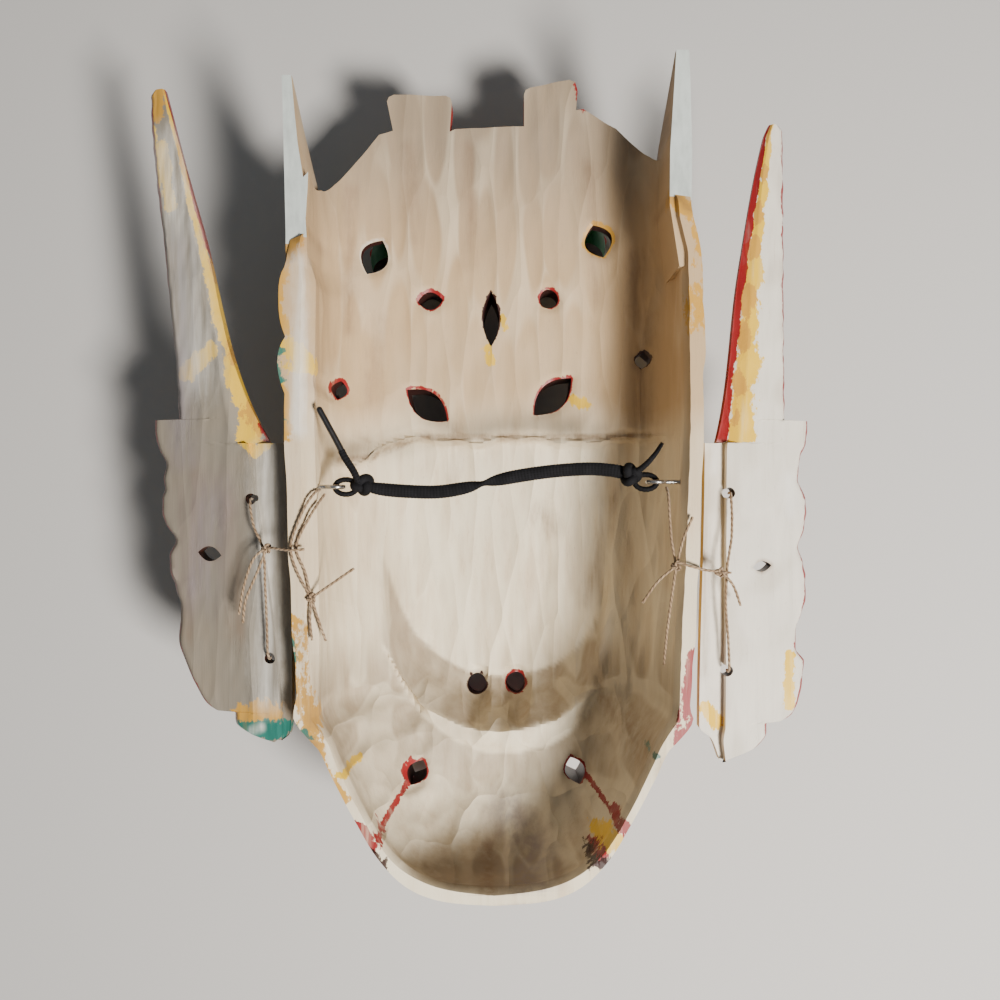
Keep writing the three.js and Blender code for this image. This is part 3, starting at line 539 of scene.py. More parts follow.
class Tree:
    """A material's nodes, added through one method."""

    def __init__(self, name: str) -> None:
        """Makes the material, with its shader and output."""
        self.material = bpy.data.materials.new(name)
        self.material.use_nodes = True
        self.nodes = self.material.node_tree.nodes
        self.links = self.material.node_tree.links
        self.nodes.clear()
        self.shader = self.nodes.new("ShaderNodeBsdfPrincipled")
        out = self.nodes.new("ShaderNodeOutputMaterial")
        self.links.new(self.shader.outputs[0], out.inputs[0])

    def add(self, kind: str, settings: dict | None = None, values: dict | None = None) -> bpy.types.Node:
        """Adds a node.

        Args:
            kind: The node's type.
            settings: Its properties, set first.
            values: Numbers, colours or sockets for its inputs, by name or number.

        Returns:
            The node.
        """
        node = self.nodes.new(kind)
        for key, value in (settings or {}).items():
            setattr(node, key, value)
        for key, value in (values or {}).items():
            self.feed(node.inputs[key], value)
        return node

    def feed(self, socket: bpy.types.NodeSocket, value: object) -> None:
        """Gives a socket a link, a number or a colour."""
        if isinstance(value, (Value, Colour)):
            self.links.new(value.socket, socket)
        elif isinstance(value, bpy.types.NodeSocket):
            self.links.new(value, socket)
        elif socket.type == "RGBA":
            socket.default_value = (*value, 1.0)
        else:
            socket.default_value = value

    def mix(self, first: object, second: object, share: object) -> Colour:
        """A mix of two colours: all of the first at share 0, all of the second at 1."""
        node = self.add("ShaderNodeMix", {"data_type": "RGBA"}, {0: share, 6: first, 7: second})
        return Colour(self, node.outputs[2])

    def place(self, scale: Sequence[float] = (1, 1, 1)) -> bpy.types.NodeSocket:
        """Object coordinates, stretched."""
        place = self.add("ShaderNodeTexCoord")
        node = self.add("ShaderNodeMapping", None, {"Vector": place.outputs["Object"], "Scale": tuple(scale)})
        return node.outputs["Vector"]

    def field(self, name: str) -> Value:
        """A number stored on the piece's corners."""
        return Value(self, self.add("ShaderNodeAttribute", {"attribute_name": name}).outputs["Fac"])

    def noise(self, scale: float, stretch: Sequence[float] = (1, 1, 1), detail: float = 3.0,
              rough: float = 0.55) -> Value:
        """Noise over object coordinates, from about 0 to 1.

        Args:
            scale: Patches per metre.
            stretch: Scale on each axis beside it.
            detail: Octaves.
            rough: How strong the fine octaves are.

        Returns:
            The noise value.
        """
        node = self.add("ShaderNodeTexNoise", None, {
            "Vector": self.place(stretch), "Scale": scale, "Detail": detail, "Roughness": rough})
        return Value(self, node.outputs["Fac"])

    def scoops(self, scale: float, stretch: float, sway: float) -> tuple[Value, Colour]:
        """Gouge scoops: one for each cell, in plan, of stretched coordinates that noise has pushed about.

        Args:
            scale: Cells per metre across.
            stretch: Scale along Y beside it.
            sway: How far the noise pushes, in metres.

        Returns:
            Height, which is the square of the distance from a cell's middle, so that scoops meet in crisp
            ridges; and a colour that is steady within each scoop.
        """
        place = self.place((1.0, stretch, 1.0))
        wander = self.add("ShaderNodeTexNoise", {"noise_dimensions": "2D"},
                          {"Vector": place, "Scale": 60.0, "Detail": 1.0})
        pushed = self.add("ShaderNodeVectorMath", {"operation": "MULTIPLY_ADD"},
                          {0: wander.outputs["Color"], 1: (sway, sway, 0.0), 2: place})
        node = self.add("ShaderNodeTexVoronoi", {"voronoi_dimensions": "2D"},
                        {"Vector": pushed.outputs[0], "Scale": scale, "Randomness": 0.85})
        middle = Value(self, node.outputs["Distance"])
        return middle * middle, Colour(self, node.outputs["Color"])

    def stained(self, colour: Colour, pigments: Iterable[Pigment], streak: Value) -> tuple[Colour, object]:
        """Lays pigment patches over a colour.

        Args:
            colour: What is under them.
            pigments: Which, each with a field on the piece.
            streak: Noise that thins them.

        Returns:
            The colour, and how much of it is paint.
        """
        edge = self.noise(300.0, (1.0, 0.5, 1.0), 5.0, 0.72)
        wet: object = 0.0
        for pigment in pigments:
            soft = pigment in (Pigment.BROWN, Pigment.PALE, Pigment.GREY)
            near = self.field(pigment.field) + (edge - 0.5) * (0.7 if soft else 2.6)
            thin = (streak * 0.9 + (0.1 if soft else 0.3)).step(0.25, 0.75)
            mask = near.step(-0.3, 1.0) * thin * 0.75 if soft else near.step(0.02, 0.22) * thin
            colour = colour.to(pigment.tone, mask)
            wet = wet if soft else mask + wet
        return colour, wet

    def bump(self, height: Value, depth: float) -> None:
        """Feeds the shader's normal from a height, whose full range is depth metres."""
        node = self.add("ShaderNodeBump", None, {"Height": height, "Distance": depth, "Strength": 1.0})
        self.links.new(node.outputs[0], self.shader.inputs["Normal"])

    def finish(self, colour: object, roughness: object, **steady_values: float) -> bpy.types.Material:
        """Feeds the shader's colour and roughness, sets its steady values, and returns the material."""
        self.feed(self.shader.inputs["Base Color"], colour)
        self.feed(self.shader.inputs["Roughness"], roughness)
        for key, value in steady_values.items():
            self.shader.inputs[key.replace("_", " ").title().replace("Ior", "IOR")].default_value = value
        return self.material


@dataclass(frozen=True)
class Stain:
    """A patch of pigment along a line: gone beyond its width, and beyond how far it runs below the rim."""

    pigment: Pigment
    line: Pairs
    width: float
    strength: float = 1.0
    runs: float = 300.0


def lay_stains(piece: bpy.types.Object, stains: Iterable[Stain], pigments: Iterable[Pigment],
               bands: dict[Pigment, Array] | None = None) -> None:
    """Stores, for each pigment, how far inside its nearest patch each corner is.

    The field is strength times (1 minus distance over width), so it is 0 at a patch's edge, up to strength
    on its line, and -1 or less well outside.

    Args:
        piece: The piece.
        stains: Its patches.
        pigments: Every pigment that its material reads.
        bands: Fields worked out already, which count beside the patches.
    """
    places = corners_of(piece)
    fields = {p: np.full(len(places), -1.0) for p in pigments}
    for stain in stains:
        low = np.clip((RIM_Z - stain.runs - places[:, 2]) / 5.0, 0.0, 2.0)
        near = stain.strength * (1.0 - distance_to(places, stain.line) / stain.width) - low
        fields[stain.pigment] = np.maximum(fields[stain.pigment], near)
    for pigment, values in fields.items():
        set_field(piece, pigment.field, np.maximum(values, (bands or {}).get(pigment, -1.0)))


@dataclass(frozen=True)
class BareWood:
    """Bare carved light wood: grain along Y, pores, growth streaks, dirt, painted shade and highlight, and
    pigment patches over it.
    """

    pale: Tone = (0.80, 0.72, 0.545)
    warm: Tone = (0.52, 0.365, 0.205)
    # Tone of painted shade in the body's hollow, and of random ageing on the side boards.
    aged: Tone = (0.30, 0.235, 0.165)
    # Tone of dirt in the grain and specks, and of painted shade on the gouge scoops.
    grime_and_shade: Tone = (0.27, 0.195, 0.13)
    roughness: float = 0.66
    depth: float = 0.0025
    pigments: tuple[Pigment, ...] = tuple(Pigment)

    def material(self, name: str) -> bpy.types.Material:
        """Makes the material."""
        tree = Tree(name)
        streak = tree.noise(210.0, (1.0, 0.07, 1.0), 4.0, 0.6)
        fibre = tree.noise(1500.0, (1.0, 0.05, 1.0), 3.0, 0.6)
        cloud = tree.noise(22.0, (1.0, 0.6, 1.0), 3.0)
        speck = tree.noise(900.0, (1.0, 0.35, 1.0), 2.0)
        scaled, flat = tree.field("scaled"), tree.field("flat")
        long_cut, long_tone = tree.scoops(90.0, 0.2, 0.006)
        scale_cut, scale_tone = tree.scoops(50.0, 0.8, 0.012)
        cut = (scale_cut * 1.7 - long_cut) * scaled + long_cut
        facet_shade = long_tone.to(scale_tone, scaled).red()
        wood = tree.mix(self.pale, self.warm, (streak * 0.55 + cloud * 0.6).step(0.42, 0.92) * 0.62)
        wood = wood.to(self.warm, tree.field("warm") * (0.6 + cloud * 0.5))
        # Painted shade from its field on the body; on the side boards the same tone is random ageing.
        wood = wood.to(self.aged, tree.field("aged") * (0.55 + streak * 0.5 + cloud * 0.4))
        wood = wood.to(self.grime_and_shade, (fibre * 0.6 + streak * 0.4).step(0.52, 0.72) * 0.2)
        # Specks are dirt; each scoop's own random darkening is painted shade, for scoops that face the light
        # differently.
        wood = wood.to(self.grime_and_shade, speck.step(0.64, 0.8) * 0.22 + facet_shade * flat * 0.14)
        # Painted shade in the bottom of each gouge scoop.
        wood = wood.to(self.grime_and_shade, flat * cut.step(0.06, 0.0) * 0.12)
        # Painted highlight along the ridges between gouge scoops.
        wood = wood.to(tuple(1.12 * c for c in self.pale),
                       flat * cut.step(0.20, 0.36) * cloud.step(0.35, 0.7) * 0.4)
        wood, wet = tree.stained(wood, self.pigments, streak)
        torn = tree.noise(620.0, (1.0, 0.3, 1.0), 4.0, 0.7) * tree.field("torn")
        tree.bump(cut * flat * 1.15 + streak * 0.035 + fibre * 0.03 + torn * 0.2, self.depth)
        return tree.finish(wood, self.roughness - wet * 0.25, specular_ior_level=0.35)


@dataclass(frozen=True)
class Paint:
    """Brushed house paint on carved wood: brush streaks, thin places, wear down to the wood and dirt."""

    tone: Tone
    worn: float = 0.25
    roughness: float = 0.42
    wood: Tone = (0.66, 0.55, 0.38)
    pigments: tuple[Pigment, ...] = ()

    def material(self, name: str) -> bpy.types.Material:
        """Makes the material."""
        tree = Tree(name)
        brush = tree.noise(420.0, (1.0, 0.18, 1.0), 3.0, 0.6)
        patch = tree.noise(70.0, (1.0, 0.8, 1.0), 4.0, 0.6)
        chip = tree.noise(330.0, (1.0, 0.6, 1.0), 4.0, 0.7)
        darker = tuple(0.62 * c for c in self.tone)
        paint = tree.mix(self.tone, darker, (brush * 0.5 + patch * 0.6).step(0.4, 0.85) * 0.7)
        worn = (chip * 0.6 + patch * 0.55).step(0.80 - 0.18 * self.worn, 0.86 - 0.18 * self.worn)
        paint, _ = tree.stained(paint, self.pigments, brush)
        paint = paint.to(self.wood, worn)
        paint = paint.to((0.12, 0.09, 0.06), patch.step(0.55, 0.95) * 0.25)
        tree.bump(brush * 0.6 - worn * 0.8, 0.0002)
        return tree.finish(paint, self.roughness + worn * 0.3, specular_ior_level=0.45)


@dataclass(frozen=True)
class Strokes:
    """A field of gouge strokes: where they lie, their half-length and half-width, depth and direction."""

    low: tuple[float, float]
    high: tuple[float, float]
    length: float
    width: float
    depth: float
    lean: Pattern
    keep: Pattern
    seed: int

    def cuts(self) -> Array:
        """Scatters the strokes on a jittered grid of 1.05 half-lengths by 1.15 half-widths.

        Returns:
            Rows of x, y, direction, half-length, half-width and depth.
        """
        rng = np.random.default_rng(self.seed)
        xs = np.arange(self.low[0], self.high[0], self.width * 1.15)
        ys = np.arange(self.low[1], self.high[1], self.length * 1.05)
        x, y = (g.ravel() for g in np.meshgrid(xs, ys))
        y = y + (np.round((x - xs[0]) / (self.width * 1.15)) % 2) * self.length * 0.5
        x = x + rng.uniform(-0.4, 0.4, x.size) * self.width
        y = y + rng.uniform(-0.45, 0.45, y.size) * self.length
        turn = self.lean(x, y) + rng.normal(0.0, 0.13, x.size)
        long = self.length * rng.uniform(0.75, 1.3, x.size)
        wide = self.width * rng.uniform(0.8, 1.3, x.size)
        deep = self.depth * rng.uniform(0.55, 1.35, x.size)
        rows = np.stack([x, y, turn, long, wide, deep], 1)
        return rows[self.keep(x, y)]


def gouged(x: Array, y: Array, cuts: Array) -> Array:
    """Depth of overlapping gouge strokes.

    Each stroke is a shallow bowl, its depth times (1 minus (along/length) squared minus (across/width)
    squared), and the deepest stroke counts at each place, so their meeting lines stay crisp.

    Args:
        x: Places across.
        y: Places along.
        cuts: Rows from Strokes.cuts.

    Returns:
        Depths, from 0.
    """
    deepest = np.zeros_like(x)
    for cx, cy, turn, long, wide, deep in cuts:
        near = (np.abs(x - cx) < max(long, wide)) & (np.abs(y - cy) < max(long, wide))
        dx, dy = x[near] - cx, y[near] - cy
        ahead = dx * math.cos(turn) + dy * math.sin(turn)
        across = -dx * math.sin(turn) + dy * math.cos(turn)
        depth = deep * (1.0 - (ahead / long) ** 2 - (across / wide) ** 2)
        deepest[near] = np.maximum(deepest[near], depth)
    return deepest


def lens(x: float, y: float, length: float, width: float, turn: float, count: int = 14) -> Array:
    """Outline of two arcs that meet in points: each is the parabola through both ends and half the width."""
    t = np.linspace(-1.0, 1.0, count)
    there, back = t * length / 2, -t[1:-1] * length / 2
    side = np.r_[np.c_[there, -(1 - t**2) * width / 2], np.c_[back, (1 - t[1:-1]**2) * width / 2]]
    c, s = math.cos(turn), math.sin(turn)
    return np.c_[x + side[:, 0] * c - side[:, 1] * s, y + side[:, 0] * s + side[:, 1] * c]


@dataclass(frozen=True)
class Hole:
    """A hole carved through the face, with its countersink in the hollow and the paint at its edge."""

    outline: Array
    edge: Pigment
    ring: float = 2.6
    sink: float = 1.4
    stain: float = 1.4

    def line(self) -> Array:
        """Its outline as a closed polyline."""
        return np.r_[self.outline, self.outline[:1]]

    def reach(self, places: Array) -> Array:
        """Distance in plan outside its outline, 0 within."""
        apart = distance_to(places, self.line())
        spin = np.zeros(len(places))
        route = self.line()
        for a, b in zip(route[:-1], route[1:]):
            u, v = a - places[:, :2], b - places[:, :2]
            spin += np.arctan2(u[:, 0] * v[:, 1] - u[:, 1] * v[:, 0], (u * v).sum(1))
        return np.where(np.abs(spin) > math.pi, 0.0, apart)


def round_outline(x: float, y: float, radius: float, count: int = 22) -> Array:
    """A circle's outline, a little out of true as a knife leaves it."""
    angle = np.linspace(0.0, 2 * math.pi, count, endpoint=False)
    size = radius * (1.0 + 0.03 * np.sin(3 * angle + x))
    return np.c_[x + size * np.cos(angle), y + size * np.sin(angle)]


@dataclass
class Hollow:
    """The carved hollow: its depths, the ledge, the beak's bowl, the crescent and the tool marks."""

    depth: Pairs = ((236, 50), (186, 52), (120, 60), (70, 64), (32, 66), (0, 69), (-40, 70), (-80, 69),
                    (-100, 66),
                    (-125, 60), (-140, 58), (-152, 53), (-165, 44), (-178, 28))
    section_power: Pairs = ((-150, 2.5), (-60, 3), (30, 4.6), (214, 4.6))
    knee: float = -140.0
    end: float = -174.5
    top: float = 232.0
    end_power: float = 3.6
    end_depth: float = 0.45
    across: int = 150
    along: int = 300
    crease: Pairs = ((-60, -22), (-57.5, -30), (-51, -53), (-43, -71), (-30.5, -84), (-17, -91.7),
                     (2.7, -95.4),
                     (15.6, -94.3), (32, -89), (44.5, -79), (52.5, -64), (57, -47), (59, -30), (60, -22))
    ridge: Pairs = ((-57.3, -73), (-50.6, -89), (-38.7, -105), (-16.4, -114.5), (-3, -117), (11.5, -116.5),
                    (31, -112), (44.6, -103), (53, -97))
    foot: Pairs = ((-57.3, -75), (-48, -95.6), (-37.6, -110), (-21.6, -122), (-5.6, -128.4), (11.5, -128.4),
                   (26, -125.6), (38.9, -118.4), (49.7, -106.5), (53.4, -98))
    bowl_depth: float = 19.0
    bowl_top: float = 28.0
    bowl_side: float = 60.0
    bowl_corner: float = -22.0
    crest: float = 8.5
    crest_middle: float = -2.0
    crest_side: float = 55.3
    crest_reach: float = 15.0
    ledge_at: float = 31.0
    ledge_dip: float = 14.0
    ledge_drop: float = 7.0
    groove: float = 2.2

    def curves(self) -> tuple[Curve, ...]:
        """The bowl's crease, the crescent's ridge and its foot, each as y over x."""
        return tuple(eased(rows, 2.0) for rows in (self.crease, self.ridge, self.foot))

    @staticmethod
    def lean(curve: Curve, x: Array) -> Array:
        """Length of a curve's slope line over 1 mm across: the root of 1 plus its slope squared."""
        return np.sqrt(1.0 + ((curve(x + 1.5) - curve(x - 1.5)) / 3.0) ** 2)

    def floor(self, x: Array, y: Array, e: Array, base: Curve) -> Array:
        """Depth below the rim on the flat of the floor.

        The base table, plus the ledge's drop, plus the beak's bowl, which grows deeper from its top down to
        its crease and then climbs a straight wall to the ridge, less the crescent's crest, a tent from the
        wall over the ridge to the foot.

        Args:
            x: Places across.
            y: Places along.
            e: Share of the full width that the row has.
            base: The eased depth table.

        Returns:
            Depths in mm.
        """
        crease, ridge, foot = self.curves()
        ripple = 1.2 * np.sin(x * 0.11) + 0.8 * np.sin(x * 0.31 + 1)
        ledge_y = self.ledge_at - self.ledge_dip * smoothstep(0, 35, -x - 45) + ripple
        ledge = self.ledge_drop * smoothstep(0.0, 3.5, ledge_y - y) * smoothstep(-130, -95, y)
        ledge += self.groove * np.exp(-(((y - ledge_y - 1.6) / 1.4) ** 2))
        beside = np.clip(np.abs((x - 1.0) / self.bowl_side), 0, 1)
        low = np.where(beside < 1, crease(x), self.bowl_corner)
        down = np.clip((self.bowl_top - y) / np.maximum(self.bowl_top - low, 8.0), 0.0, 1.0)
        deep = self.bowl_depth * (1.0 - beside**3.2) ** 0.8
        wall_top = np.where((x > -57) & (x < 53), ridge(x), low - 22.0)
        wall = np.clip((low - y) / np.maximum(low - wall_top, 6.0), 0.0, 1.0)
        bowl = deep * np.where(y > low, down**1.25, 1.0 - wall)
        s = np.clip(np.abs((x - self.crest_middle) / self.crest_side), 0, 1)
        rise = np.clip((y - foot(x)) / np.maximum(ridge(x) - foot(x), 3.5 * self.lean(ridge, x)), 0, 1)
        fall = 1.0 - np.clip((y - ridge(x)) / self.crest_reach, 0, 1)
        crest = self.crest * (1.0 - s**2.4) ** 0.75 * np.where(y < ridge(x), rise, fall)
        return (base(y) + ledge + bowl - crest) * (self.end_depth + (1.0 - self.end_depth) * e)

    def age(self, x: Array, y: Array) -> Array:
        """How much painted shade darkens the wood, from 0 to 1.

        Painted shade: the crown darkens towards its top, and the chin towards its end, where its wall
        shades the floor. The bowl's wall, between crease and ridge, is darker than the bowl and the
        crescent beside it, and so is the chin's floor below the crescent's foot; both face from the light.
        """
        crease, ridge, foot = ((y - curve(x)) / self.lean(curve, x) for curve in self.curves())
        inside = smoothstep(60, 54, np.abs(x + 1))
        wall = smoothstep(0.6, -1.2, crease) * smoothstep(-0.8, 1.2, ridge) * inside
        below = np.where(np.abs(x + 1) < 56, smoothstep(0.6, -1.4, foot), 1.0) * smoothstep(-62, -90, y)
        chin = below * (0.62 - 0.35 * smoothstep(-132, -150, y)) + 0.9 * smoothstep(-160, -178, y)
        return np.maximum.reduce([0.72 * wall, chin, 0.95 * smoothstep(100, 190, y)])

    def tool_marks(self) -> Array:
        """All gouge strokes: long ones down the crown and the bowl, scales below and around it."""
        up = lambda x, y: np.full_like(x, math.pi / 2)
        radial = lambda x, y: np.arctan2(y + 45.0, x - 2.0)
        chin = lambda x, y: np.arctan2(y + 100.0, x * 0.8) + 0.3 * np.sin(x * 0.13)
        bowl_y = lambda x: np.where(np.abs(x - 1) < 60, self.curves()[0](x), -22.0)
        fields = [
            Strokes((-125, 26), (125, 205), 30, 7.5, 0.9, up, lambda x, y: y > 34, 1),
            Strokes((-120, -30), (120, 40), 20, 8.5, 0.7,
                    lambda x, y: up(x, y) + 0.25 * np.sin(y * 0.2 + x * 0.1),
                    lambda x, y: y > bowl_y(x) - 4, 2),
            Strokes((-62, -100), (62, 8), 22, 6.0, 1.0, up,
                    lambda x, y: (y > bowl_y(x) + 8) & (np.abs(x) < 56), 3),
            Strokes((-62, -124), (62, -70), 11, 7.0, 1.3, radial,
                    lambda x, y: (y < bowl_y(x) - 3) & (y > -112) & (np.abs(x) < 60), 4),
            Strokes((56, -125), (125, 30), 17, 4.6, 1.1, up, lambda x, y: x > 60, 5),
            Strokes((-125, -125), (-56, 30), 19, 7.0, 0.8, up, lambda x, y: x < -60, 6),
            Strokes((-112, -182), (112, -84), 13, 9.0, 1.7, chin,
                    lambda x, y: y < np.where(np.abs(x) < 57, self.curves()[2](x) - 5, -96), 7),
        ]
        return np.concatenate([f.cuts() for f in fields])


@dataclass
class Body:
    """The hollow carved body, with its crown, horns, walls, face, beak and chin, in one piece."""

    half_width: Pairs = ((214, 88), (146, 88.5), (128, 89.5), (112, 93.5), (36, 94.6), (-18, 92.8),
                         (-63, 90.5),
                         (-99, 88), (-109, 80.5), (-135, 68), (-164, 52), (-184, 42))
    outer_depth: Pairs = ((230, 65), (186, 66), (120, 74), (70, 80), (40, 84), (0, 88), (-50, 90), (-95, 88),
                          (-120, 83), (-150, 71), (-170, 57), (-184, 44))
    section_power: float = 3.1
    top: float = 214.0
    knee: float = -146.0
    end: float = -181.0
    end_power: float = 3.6
    end_depth: float = 0.55
    keel: float = 1.6
    wall_left: Pairs = ((-184, 5), (-120, 6), (-60, 11), (-20, 12.5), (100, 12.5), (124, 4.2), (214, 4.2))
    wall_right: Pairs = ((-184, 5), (-120, 6), (-60, 8), (214, 8))
    bevel_left: Pairs = ((-184, 1.5), (-110, 1.5), (-50, 5.5), (100, 5.5), (124, 0), (214, 0))
    bevel_right: Pairs = ((-184, 2), (214, 2))
    bevel_depth: float = 6.0
    mound: tuple[float, float, float, float, float] = (2.0, -60.0, 78.0, 70.0, 14.0)
    across: int = 104
    along: int = 150
    lobes_left: Pairs = ((90.0, 15.5, 3.4), (61.0, 12.0, 3.2), (-101.0, 12.0, 2.4))
    lobes_right: Pairs = ((75.0, 16.0, 1.2), (-104.0, 9.0, 2.6))
    nostrils: Pairs = ((-9.4, -101.5), (11.4, -101.5))
    nostril_size: tuple[float, float, float] = (7.8, 12.5, 4.6)
    hollow: Hollow = field(default_factory=Hollow)

    crown: Pairs = ((-100, 133), (-84.8, 148), (-74.5, 161.5), (-57.9, 183), (-51, 185.3), (-53.9, 199.5),
                    (-52.9, 201.8),
                    (-50.5, 203), (-24.5, 203), (-22.2, 202), (-21.5, 199.5), (-22.6, 185.3), (-20, 186.5),
                    (14.8, 188), (14.8, 203.5), (15.6, 205.8), (17.9, 207), (37.5, 210.6), (40.4, 209.4),
                    (41.6, 205), (40.8, 195.5), (44.6, 196), (60.8, 185.5), (78.5, 166), (100, 142))
    left_horn: Pairs = ((104, -84.4, -94.4, 46), (121, -85, -94.4, 50), (147, -86.6, -95, 56),
                        (162, -89, -95.4, 69),
                        (176, -90.4, -95.7, 86), (192.6, -91.9, -96.2, 104))
    right_horn: Pairs = ((106, 84, 92.8, 46), (134, 79.6, 89.4, 50), (158, 79.8, 89.8, 56),
                         (174, 80.8, 89.4, 68),
                         (190, 81.8, 89, 87), (204, 82.6, 88.4, 104))
    shoulders: tuple[tuple[Pairs, Pairs], ...] = (
        (((-103, 115.2), (-94.1, 117), (-85.5, 121), (-78, 122), (-78, 260), (-103, 260)),
         ((-103, 104.6), (-91.4, 105.8), (-85.5, 119.6), (-78, 121), (-78, 260), (-103, 260))),
        (((73, 139.6), (79.2, 138.8), (88.2, 137.5), (103, 135.5), (103, 260), (73, 260)),
         ((73, 138.5), (80, 136.5), (89.1, 129.6), (103, 122), (103, 260), (73, 260))),
    )

    def section(self, exponent: float, count: int) -> tuple[Array, Array]:
        """A superellipse arc in equal steps: shares across from -1 to 1, and shares of the depth."""
        angle = np.linspace(-math.pi / 2, math.pi / 2, 801)
        arc = np.c_[np.sign(angle) * power(np.sin(angle), 2 / exponent), power(np.cos(angle), 2 / exponent)]
        arc = evenly(arc, count)
        return arc[:, 0], arc[:, 1]

    def rows(self, top: float, knee: float, end: float, exponent: float, count: int) -> tuple[Array, Array]:
        """Rows from the crown to the chin: y, and the share of the width left at each.

        Straight down to the knee, then y is the knee less the reach times sine to the power 2/p, while the
        share is cosine to the power 2/p, in equal steps.
        """
        angle = np.linspace(0.0, math.pi / 2, 400)[1:]
        share = power(np.cos(angle), 2 / exponent)
        share[-1] = 0.0
        y = knee - (knee - end) * power(np.sin(angle), 2 / exponent) - self.keel * (1 - share)
        straight = np.linspace(top, knee, 200)
        line = evenly(np.r_[np.c_[straight, np.full(200, 45.0)], np.c_[y, share * 45.0]], count)
        return line[:, 0], line[:, 1] / 45.0

    def outer_depth_at(self, x: Array, y: Array, e: Array) -> Array:
        """Depth of the outer face below the rim on its flat: its table plus the mound behind the beak."""
        cx, cy, rx, ry, height = self.mound
        away = np.hypot((x - cx) / rx, (y - cy) / ry)
        swell = height * (1.0 - smoothstep(0.45, 1.1, away))
        return (eased(self.outer_depth, 5.0)(y) + swell) * (self.end_depth + (1 - self.end_depth) * e)

    def face(self, x: Array, y: Array) -> Array:
        """Height of the outer face without its carving."""
        x, y = np.asarray(x, float), np.asarray(y, float)
        share = np.clip(np.abs(x) / eased(self.half_width, 1.5)(y), 0.0, 1.0)
        drop = self.outer_depth_at(x, y, np.ones_like(x))
        return RIM_Z - drop * (1.0 - share**self.section_power) ** (1.0 / self.section_power)

    def outer_form(self) -> Form:
        """The outer face with a flat lid at the rim.

        x is half-width times share across, z the rim less the depth times share down.
        """
        y, e = self.rows(self.top, self.knee, self.end, self.end_power, self.along)
        across, down = self.section(self.section_power, self.across)
        half = eased(self.half_width, 1.5)(y) + 0.35 * noise(np.c_[y, np.zeros_like(y)], 26.0, 3)
        lobe = lambda at, reach, lift: lift * np.clip(1 - ((y - at) / reach) ** 2, 0, 1) ** 0.7
        left, right = (sum(lobe(*row) for row in rows) for rows in (self.lobes_left, self.lobes_right))
        swell = np.where(across > 0, right[:, None], -left[:, None]) * smoothstep(0.9, 0.0, down)
        x = (half * e)[:, None] * across + swell
        yy = np.broadcast_to(y[:, None], x.shape)
        z = RIM_Z - self.outer_depth_at(x, yy, e[:, None]) * down
        return Form.sweep(np.stack([x, yy, z], -1))

    def hollow_form(self) -> Form:
        """The hollow as a cutter, its mouth bevelled and carried above the rim.

        The surface is the superellipse section of the floor's depth below the bevel. It is then cut back
        along its own normal by the tool marks, which fade towards the mouth.
        """
        h = self.hollow
        y, e = self.rows(h.top, h.knee, h.end, h.end_power, h.along)
        powers = eased(h.section_power, 4.0)(y)
        across, down = (np.array(part) for part in zip(*[self.section(p, h.across) for p in powers]))
        half = eased(self.half_width, 1.5)(y)
        left, right = eased(self.wall_left, 2.0)(y), eased(self.wall_right, 2.0)(y)
        wall = np.where(across < 0, left[:, None], right[:, None])
        x = (half[:, None] - wall) * e[:, None] * across
        yy = np.broadcast_to(y[:, None], x.shape).copy()
        lip = RIM_Z - self.bevel_depth
        depth = h.floor(x, yy, e[:, None], eased(h.depth, 3.0))
        surface = np.stack([x, yy, lip - (depth - self.bevel_depth) * down], -1)
        surface = surface + self.tooled(surface, down, e)
        mouth_y = y - (1 - e) * 4.0
        edges = []
        for side, table, thick in ((-1, self.bevel_left, left), (1, self.bevel_right, right)):
            place = np.c_[y, np.zeros_like(y)]
            wobble = 0.4 * noise(place, 21.0, 5 + side) + 0.25 * noise(place, 7.0, 9 + side)
            mouth = (half - thick + 2 * eased(table, 2.0)(y) * (0.5 + 0.5 * e) + wobble) * e
            edges.append(np.stack([side * mouth, mouth_y, np.full_like(y, RIM_Z + self.bevel_depth)], -1))
        rings = np.concatenate([edges[0][:, None], surface, edges[1][:, None]], 1)
        return Form.sweep(rings)

    def tooled(self, surface: Array, down: Array, e: Array) -> Array:
        """How far the tool marks move each point of the hollow, out along its normal."""
        du, dv = np.gradient(surface, axis=1), np.gradient(surface, axis=0)
        normal = np.cross(du, dv)
        normal /= np.maximum(np.linalg.norm(normal, axis=-1), 1e-9)[..., None]
        normal *= -np.sign(normal[..., 2].mean())
        reach = np.cumsum(np.linalg.norm(du, axis=-1), axis=1)
        spread = reach - reach[:, [reach.shape[1] // 2]]
        spread += surface[:, [reach.shape[1] // 2], 0]
        marks = gouged(spread, surface[..., 1], self.hollow.tool_marks())
        ripple = 0.35 * noise(np.stack([spread, surface[..., 1] * 0.35], -1), 24.0, 21)
        amount = (marks + ripple) * smoothstep(0.0, 0.3, down) * smoothstep(0.0, 0.5, e)[:, None]
        plan = surface[..., :2].reshape(-1, 2)
        for hole in self.holes():
            apart = hole.reach(plan).reshape(amount.shape)
            amount = amount + hole.sink * np.clip(1.0 - apart / hole.ring, 0.0, 1.0)
        wide, long, deep = self.nostril_size
        for x, y in self.nostrils:
            inside = 1.0 - ((surface[..., 0] - x) / wide) ** 2 - ((surface[..., 1] - y) / long) ** 2
            amount = amount + deep * np.sqrt(np.clip(inside, 0.0, 1.0))
        return normal * amount[..., None]

